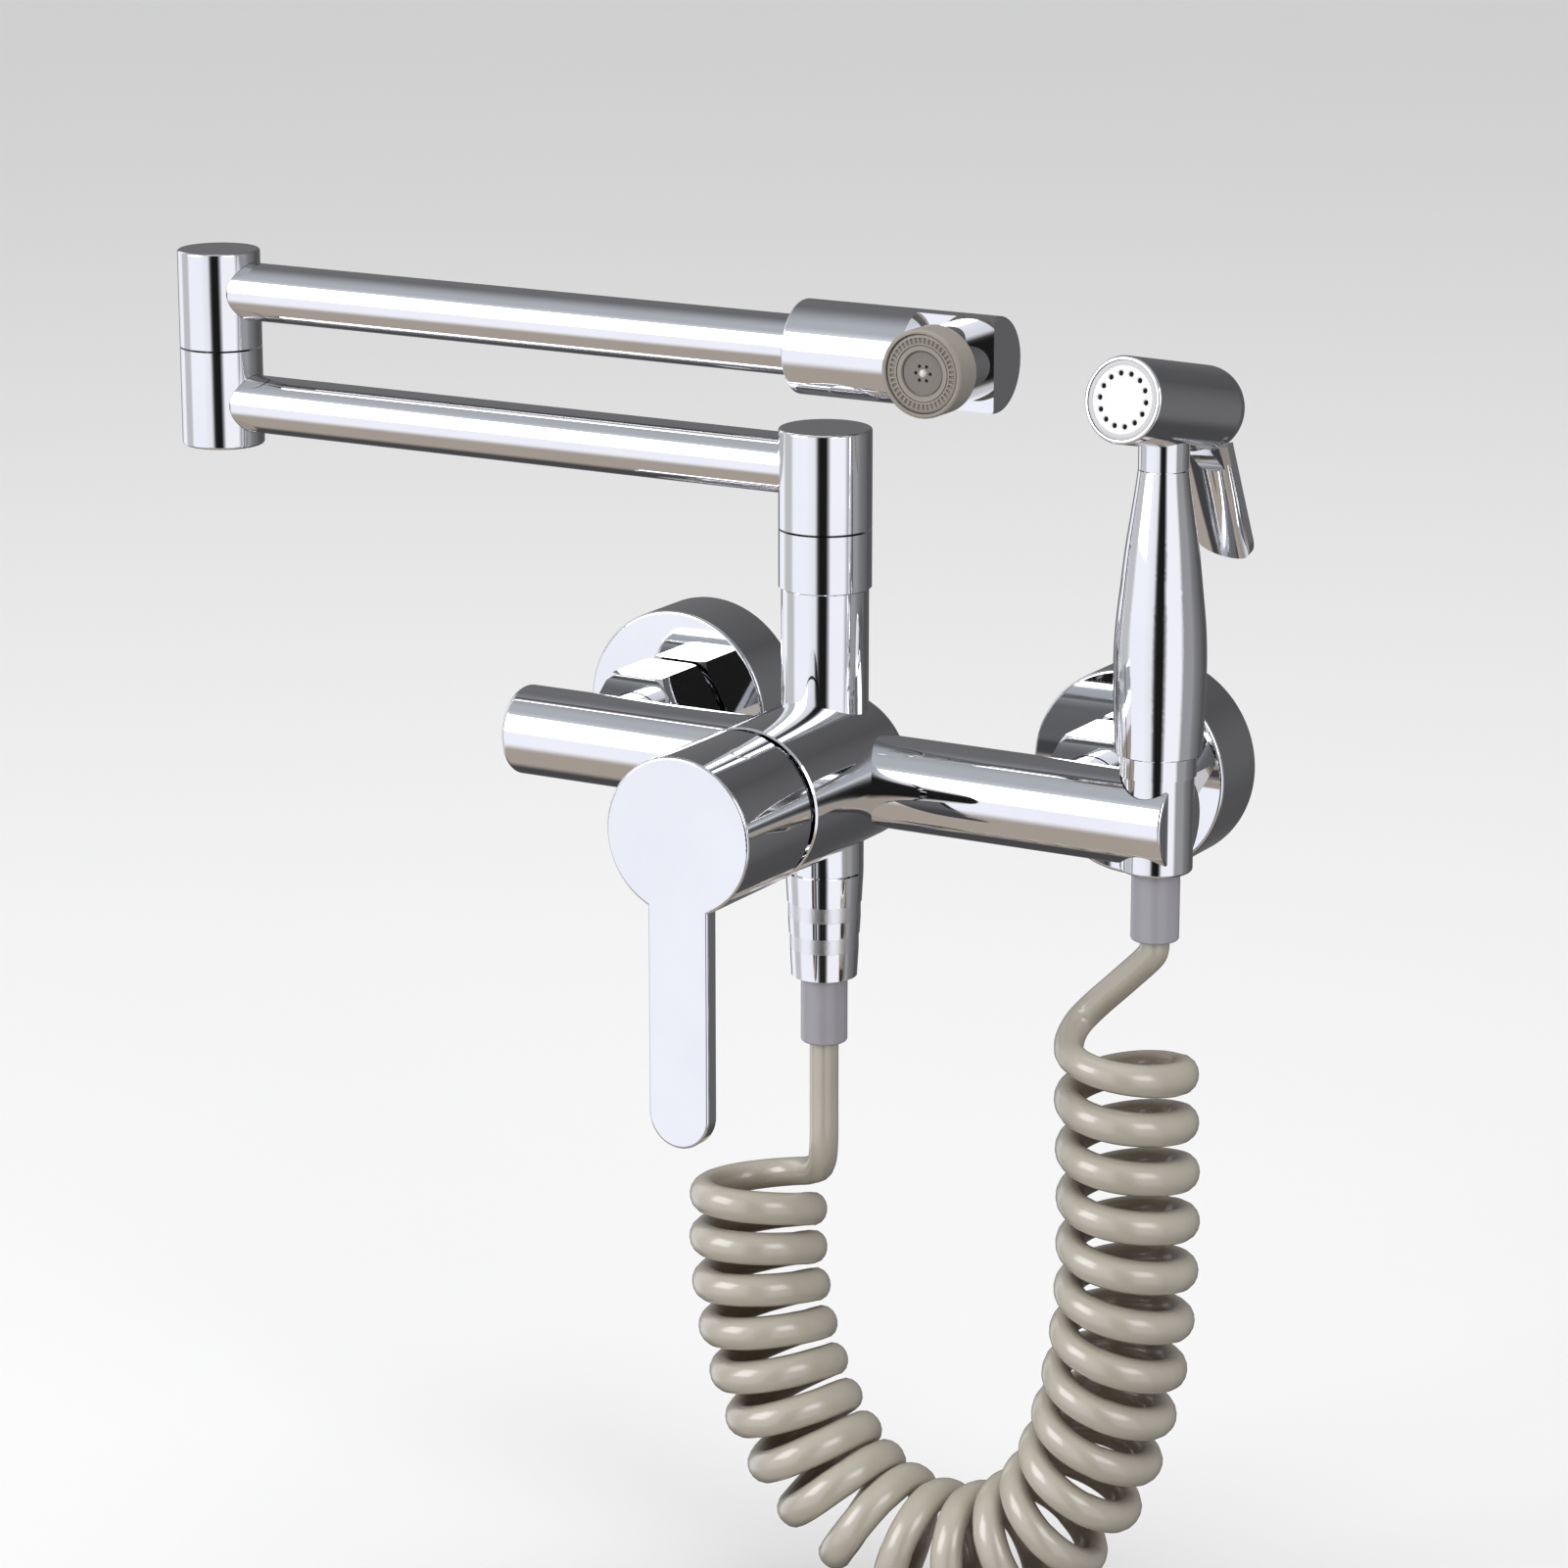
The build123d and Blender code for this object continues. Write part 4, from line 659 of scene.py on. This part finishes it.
# %% Polished chrome
def chrome_vary(place):
    smear = noise(place, 45, 3)
    haze = noise(place, 900, 2)
    wave = noise(place, 26, 1)
    return {
        "Base Color": smear.step(0.3, 0.75).tint((0.87, 0.875, 0.885), (0.84, 0.845, 0.86)),
        "Roughness": 0.028 + 0.03 * smear.step(0.45, 0.8) + 0.015 * haze,
        "Normal": bump(wave, 0.08, 0.001),
    }


chrome = finish("polished_chrome", {"Metallic": 1}, chrome_vary)
print("chrome ready")

# %% Chrome of the hose nut
band_middles = (-0.0400, -0.0494)
band_flat, band_edge = 0.0021, 0.0023


def nut_vary(place):
    """Chrome with two sand-blasted bands for grip around the hose nut."""
    z = axis(place, "Z")
    band = sum(
        z.step(middle - band_edge, middle - band_flat) * (1 - z.step(middle + band_flat, middle + band_edge))
        for middle in band_middles
    )
    grain = noise(place, 4500, 2)
    varied = chrome_vary(place)
    varied["Roughness"] = varied["Roughness"] * (1 - band) + band * (0.19 + 0.08 * grain)
    varied["Base Color"] = band.tint(varied["Base Color"], (0.86, 0.86, 0.87))
    varied["Normal"] = bump(grain * band, 0.5, 0.00008)
    return varied


banded_chrome = finish("banded_chrome", {"Metallic": 1}, nut_vary)
print("banded chrome ready")

# %% [markdown]
# ## Brass, steel, rubber, ceramic and cartridge plastic
# Most of these pieces hide inside the mixer, and show when it is opened, cut or seen from behind the wall.
# Brass from the lathe is a little stained and rough, rubber is dull, lapped ceramic is smooth, and moulded
# plastic has a fine grain. Each is one shader that a noise or two make uneven, because they are seen small,
# and the unions blend two of them: bare brass in the wall, and plated brass in front of it.


# %% Brass and steel
def brass_vary(place):
    stain = noise(place, 70, 4)
    turning = noise(place, 2600, 1)
    return {
        "Base Color": stain.step(0.35, 0.75).tint((0.80, 0.62, 0.31), (0.62, 0.45, 0.22)),
        "Roughness": 0.24 + 0.2 * stain,
        "Normal": bump(turning, 0.15, 0.0001),
    }


def plated_vary(place):
    """Brass in the wall, plated in front of it."""
    bare, plated = brass_vary(place), chrome_vary(place)
    front = 1 - axis(place, "Y").step(-0.006, -0.003)
    bare["Base Color"] = front.tint(bare["Base Color"], plated["Base Color"])
    bare["Roughness"] = bare["Roughness"] * (1 - front) + plated["Roughness"] * front
    return bare


def seam_shade_vary(place):
    """Painted shade: the stems that turn inside the spout are painted near-black, for the dark seams they
    show in.
    """
    smear = noise(place, 150, 3)
    return {
        "Base Color": smear.tint((0.030, 0.026, 0.020), (0.055, 0.045, 0.032)),
        "Roughness": 0.3 + 0.2 * smear,
    }


def steel_vary(place):
    grain = noise(place, 1800, 3)
    return {
        "Base Color": grain.tint((0.66, 0.66, 0.67), (0.52, 0.52, 0.53)),
        "Roughness": 0.2 + 0.16 * grain,
    }


brass = finish("turned_brass", {"Metallic": 1}, brass_vary)
plated_brass = finish("plated_brass", {"Metallic": 1}, plated_vary)
# Painted shade: near-black stems that stand for the shade in the spout's seams.
seam_shaded_stem = finish("seam_shade_brass", {}, seam_shade_vary)
steel = finish("bright_steel", {"Metallic": 1}, steel_vary)
print("brass and steel ready")


# %% Rubber, ceramic and cartridge plastic
def rubber_vary(place):
    dust = noise(place, 220, 4)
    return {
        "Base Color": dust.step(0.4, 0.8).tint((0.022, 0.022, 0.023), (0.06, 0.06, 0.062)),
        "Roughness": 0.58 + 0.2 * dust,
    }


def ceramic_vary(place):
    speck = noise(place, 600, 3)
    return {
        "Base Color": speck.tint((0.90, 0.89, 0.85), (0.84, 0.83, 0.79)),
        "Roughness": 0.12 + 0.1 * speck,
    }


def acetal_vary(place):
    cloud = noise(place, 120, 3)
    return {
        "Base Color": cloud.tint((0.80, 0.79, 0.76), (0.70, 0.69, 0.66)),
        "Roughness": 0.36 + 0.12 * cloud,
        "Normal": bump(noise(place, 3000, 2), 0.12, 0.0001),
    }


rubber = finish("seal_rubber", {}, rubber_vary)
ceramic = finish("lapped_ceramic", {}, ceramic_vary)
acetal = finish("cartridge_acetal", {}, acetal_vary)
print("rubber, ceramic and cartridge plastic ready")

# %% [markdown]
# ## Plastics that show
# The outlet's insert is taupe plastic, the spray face clean white with a grey rim, and the two sleeves a
# pale grey. The hose is ivory and glossy, with painted dark brown shade on the inner side of its turns. A
# mask by the distance from an axis parts one finish from the next on a turned piece, and the hose's own
# points hold the mask of its painted shade.


# %% Plastics of the outlet and the spray face
def taupe_vary(place):
    """The outlet's insert, with the gauze of its core and the pin painted pale, partly as a painted
    highlight, by the distance from its axis.
    """
    cloud = noise(place, 160, 3)
    x, z = axis(place, "X"), axis(place, "Z")
    aside, over = x - outlet_middle[0], z - outlet_middle[2]
    from_axis = x.math("SQRT", aside * aside + over * over)
    core = 1 - from_axis.step(0.0059, 0.0062)
    pin = 1 - from_axis.step(0.0010, 0.0012)
    wires = 9000
    gauze = x.math("SINE", x * wires) * z.math("SINE", z * wires) * 0.5 + 0.5
    body = cloud.tint((0.35, 0.322, 0.28), (0.295, 0.27, 0.232))
    screen = gauze.tint((0.15, 0.133, 0.115), (0.27, 0.245, 0.215))
    return {
        # The pin is painted pale, in part a painted highlight that stands in for the glint on its dome.
        "Base Color": pin.tint(core.tint(body, screen), (0.78, 0.76, 0.73)),
        "Roughness": 0.36 + 0.14 * cloud - 0.2 * pin,
        "Normal": bump(noise(place, 2400, 2) + gauze * core * 3, 0.1, 0.0001),
    }


def white_vary(place):
    cloud = noise(place, 140, 3)
    return {
        "Base Color": cloud.tint((0.90, 0.90, 0.905), (0.85, 0.85, 0.86)),
        "Roughness": 0.22 + 0.1 * cloud,
        "Normal": bump(noise(place, 1500, 2), 0.05, 0.0001),
    }


def pierced_vary(place):
    """The white of the spray face, with its grey soft rim, and painted shade that darkens the walls and
    floors of the holes.
    """
    varied = white_vary(place)
    along = place.node("VectorMath", {"operation": "DOT_PRODUCT"}, {0: place, 1: face_normal}, "Value")
    behind = face_front.dot(face_normal) - along
    from_middle = place.node("VectorMath", {"operation": "DISTANCE"}, {0: place, 1: face_front}, "Value")
    rim = from_middle.step(0.0090, 0.0097)
    # Painted shade: everything behind the face inside the ring of holes is painted dark grey.
    hole_shade = behind.step(0.0002, 0.0004) * (1 - from_middle.step(0.0085, 0.0088))
    rimmed = rim.tint(varied["Base Color"], (0.60, 0.60, 0.61))
    varied["Base Color"] = hole_shade.tint(rimmed, (0.12, 0.12, 0.125))
    return varied


taupe = finish("aerator_taupe", {"IOR": 1.5}, taupe_vary)
white = finish("spray_white", {"IOR": 1.5}, white_vary)
pierced_white = finish("pierced_white", {"IOR": 1.5}, pierced_vary)
print("outlet and spray face ready")


# %% Plastics of the sleeves and the hose
def sleeve_vary(place):
    cloud = noise(place, 90, 3)
    return {
        "Base Color": cloud.tint((0.42, 0.41, 0.45), (0.36, 0.35, 0.385)),
        "Roughness": 0.2 + 0.12 * cloud,
    }


def hose_vary(place):
    cloud = noise(place, 60, 3)
    fleck = noise(place, 700, 2)
    # Painted shade: the inner side of each turn is painted dark brown and made a little rougher.
    inner = place.node("Attribute", {"attribute_name": "inner_side"}, output="Fac")
    outside = cloud.step(0.3, 0.75).tint((0.53, 0.489, 0.408), (0.485, 0.446, 0.368))
    return {
        "Base Color": inner.tint(outside, (0.17, 0.128, 0.086)),
        "Roughness": 0.19 + 0.08 * cloud + 0.03 * fleck + 0.2 * inner,
    }


pale = finish("sleeve_pale", {"IOR": 1.5, "Coat Weight": 0.2}, sleeve_vary)
ivory = finish("hose_ivory", {"IOR": 1.75, "Coat Weight": 0.5, "Coat Roughness": 0.12}, hose_vary)
print("sleeves and hose ready")

# %% [markdown]
# ## Every solid gets its finish
# The imported record already says which finish each solid has, so the solids are dressed by its slots. Three
# differ from their slot: the nut of the hose has two matt bands, and the two stems that show as a line in
# the spout's joints are painted near-black, as painted shade in those seams. The pieces made above get their
# own finish last.

# %% Dress the solids
slot_finish = {
    "chrome": chrome,
    "brass": brass,
    "seal_rubber": rubber,
    "steel": steel,
    "ceramic": ceramic,
    "cartridge_plastic": acetal,
    "aerator_plastic": taupe,
    "sleeve_plastic": pale,
    "white_plastic": white,
    "hose": ivory,
}
special_finish = {
    "hose_outlet_nut": banded_chrome,
    # The two stems get painted shade, for the dark seams where they show.
    "spout_swivel_stem": seam_shaded_stem,
    "elbow_stem": seam_shaded_stem,
}
for part in frame["record"]["subparts"]:
    solid = nodes[part["node"]]
    solid.data.materials.clear()
    solid.data.materials.append(special_finish.get(part["node"], slot_finish[part["material_slot"]]))
for piece, look in (
    (hose, ivory),
    (outlet_insert, taupe),
    (pierced_face, pierced_white),
    (pressed_spring, steel),
    (unions[0], plated_brass),
    (unions[1], plated_brass),
):
    piece.data.materials.append(look)

# %% [markdown]
# ## Studio
# Chrome shows the room, so the room matters more than the lamps. It is drawn once in the world, by
# direction: white panels to the left, ahead and right, a dark gap between them where the camera stands, a
# grey wall behind, a pale ceiling line and a warm floor. Rays from a mirror see this room, the camera sees a
# plain pale backdrop, and dull surfaces get an even light. Three soft lamps add shape. The top one stays
# out of the mirrors, and so does the plain pale floor, because the drawn room has a floor of its own.

# %% Room that the chrome reflects
world = bpy.data.worlds.new("studio")
world.use_nodes = True
scene.world = world
tree = world.node_tree
room = Socket(tree).node("TexCoord", output="Generated")
right, ahead, up = (axis(room, letter) for letter in "XYZ")
turn = right.math("ARCTAN2", right, 0 - ahead)
height = up.math("ARCSINE", up)


def degrees_stop(degrees, shade):
    """A stop of the ramp around the room: 0 is straight out from the wall, and right of it is more."""
    return ((degrees + 180) / 360, shade)


walls = turn.node(
    "ValToRGB",
    {
        "stops": [
            degrees_stop(-180, (0.10, 0.10, 0.105)),
            degrees_stop(-125, (0.20, 0.20, 0.205)),
            degrees_stop(-116, (0.97, 0.98, 1.05)),
            degrees_stop(-93, (0.98, 0.99, 1.06)),
            degrees_stop(-85, (0.58, 0.58, 0.60)),
            degrees_stop(-64, (0.58, 0.58, 0.60)),
            degrees_stop(-55, (0.98, 0.99, 1.08)),
            degrees_stop(-17, (0.98, 0.99, 1.08)),
            degrees_stop(4, (0.88, 0.88, 0.93)),
            degrees_stop(12, (0.06, 0.06, 0.06)),
            degrees_stop(17, (0.012, 0.012, 0.012)),
            degrees_stop(32, (0.012, 0.012, 0.012)),
            degrees_stop(37, (0.30, 0.30, 0.31)),
            degrees_stop(43, (1.0, 1.0, 1.06)),
            degrees_stop(78, (1.0, 1.0, 1.06)),
            degrees_stop(87, (0.34, 0.34, 0.355)),
            degrees_stop(112, (0.34, 0.34, 0.355)),
            degrees_stop(124, (0.22, 0.22, 0.225)),
            degrees_stop(160, (0.09, 0.09, 0.095)),
            degrees_stop(180, (0.10, 0.10, 0.105)),
        ]
    },
    {0: turn * (0.5 / pi) + 0.5},
)
ceiling_shade = ahead.step(-0.35, 0.5).tint((0.46, 0.48, 0.52), (0.16, 0.16, 0.17))
light_line = up.step(0.93, 0.97) * (1 - ahead.step(0.05, 0.2))
ceiling = light_line.tint(ceiling_shade, (0.68, 0.68, 0.70))
above = height.step(radians(26), radians(48)).tint(walls, ceiling)
floor_shade = ahead.step(-0.1, 0.25).tint((0.42, 0.37, 0.32), (0.07, 0.07, 0.075))
studio = height.step(radians(-38), radians(-22)).tint(floor_shade, above)
print("studio drawn")

# %% What each kind of ray sees
camera_ray = Socket(tree).node("LightPath", output="Is Camera Ray")
mirror = Socket(tree, camera_ray.socket.node.outputs["Is Glossy Ray"])
clear = Socket(tree, camera_ray.socket.node.outputs["Is Transmission Ray"])
mirrored = mirror.math("MAXIMUM", mirror, clear)
soft = up.step(-0.7, 0.5).tint((0.34, 0.335, 0.33), (0.70, 0.70, 0.71))
backdrop = up.step(0.0, 0.4).tint((0.595, 0.595, 0.595), (0.80, 0.80, 0.805))
seen = camera_ray.tint(soft, backdrop)
background = tree.nodes["Background"]
tree.links.new(mirrored.tint(seen, studio).socket, background.inputs["Color"])
background.inputs["Strength"].default_value = 1.0
print("world links", len(tree.links))

# %% Lamps
lamp_aim = Vector((0, -0.06, 0))
for name, place, power, size, mirrored_lamp in (
    ("key_lamp", (-1.3, -1.7, 0.75), 21, 1.4, True),
    ("fill_lamp", (1.9, -1.1, 0.9), 10, 1.2, True),
    ("top_lamp", (0.1, 0.2, 2.0), 12, 1.6, False),
):
    lamp = bpy.data.objects.new(name, bpy.data.lights.new(name, "AREA"))
    lamp.data.energy = power
    lamp.data.size = size
    lamp.location = place
    lamp.rotation_euler = (lamp_aim - lamp.location).to_track_quat("-Z", "Y").to_euler()
    lamp.visible_glossy = mirrored_lamp
    scene.collection.objects.link(lamp)
print("lamps placed")


# %% Floor
floor_half, floor_squares, floor_gap = 12, 8, 0.004


def floor_vary(place):
    cloud = noise(place, 3, 2)
    return {
        "Base Color": cloud.tint((0.90, 0.90, 0.895), (0.88, 0.88, 0.875)),
        "Roughness": 0.75 + 0.1 * cloud,
    }


floor_mesh = bmesh.new()
bmesh.ops.create_grid(floor_mesh, x_segments=floor_squares, y_segments=floor_squares, size=floor_half)
floor_data = bpy.data.meshes.new("floor")
floor_mesh.to_mesh(floor_data)
floor_mesh.free()
floor = bpy.data.objects.new("floor", floor_data)
floor.location = (0, 0, cad_box[0][2] - floor_gap)
floor_data.materials.append(finish("pale_floor", {"Specular IOR Level": 0.1}, floor_vary))
floor.visible_glossy = False
floor.visible_diffuse = False
scene.collection.objects.link(floor)
scene.view_settings.view_transform = "Standard"
print("floor at", round(floor.location.z, 4))
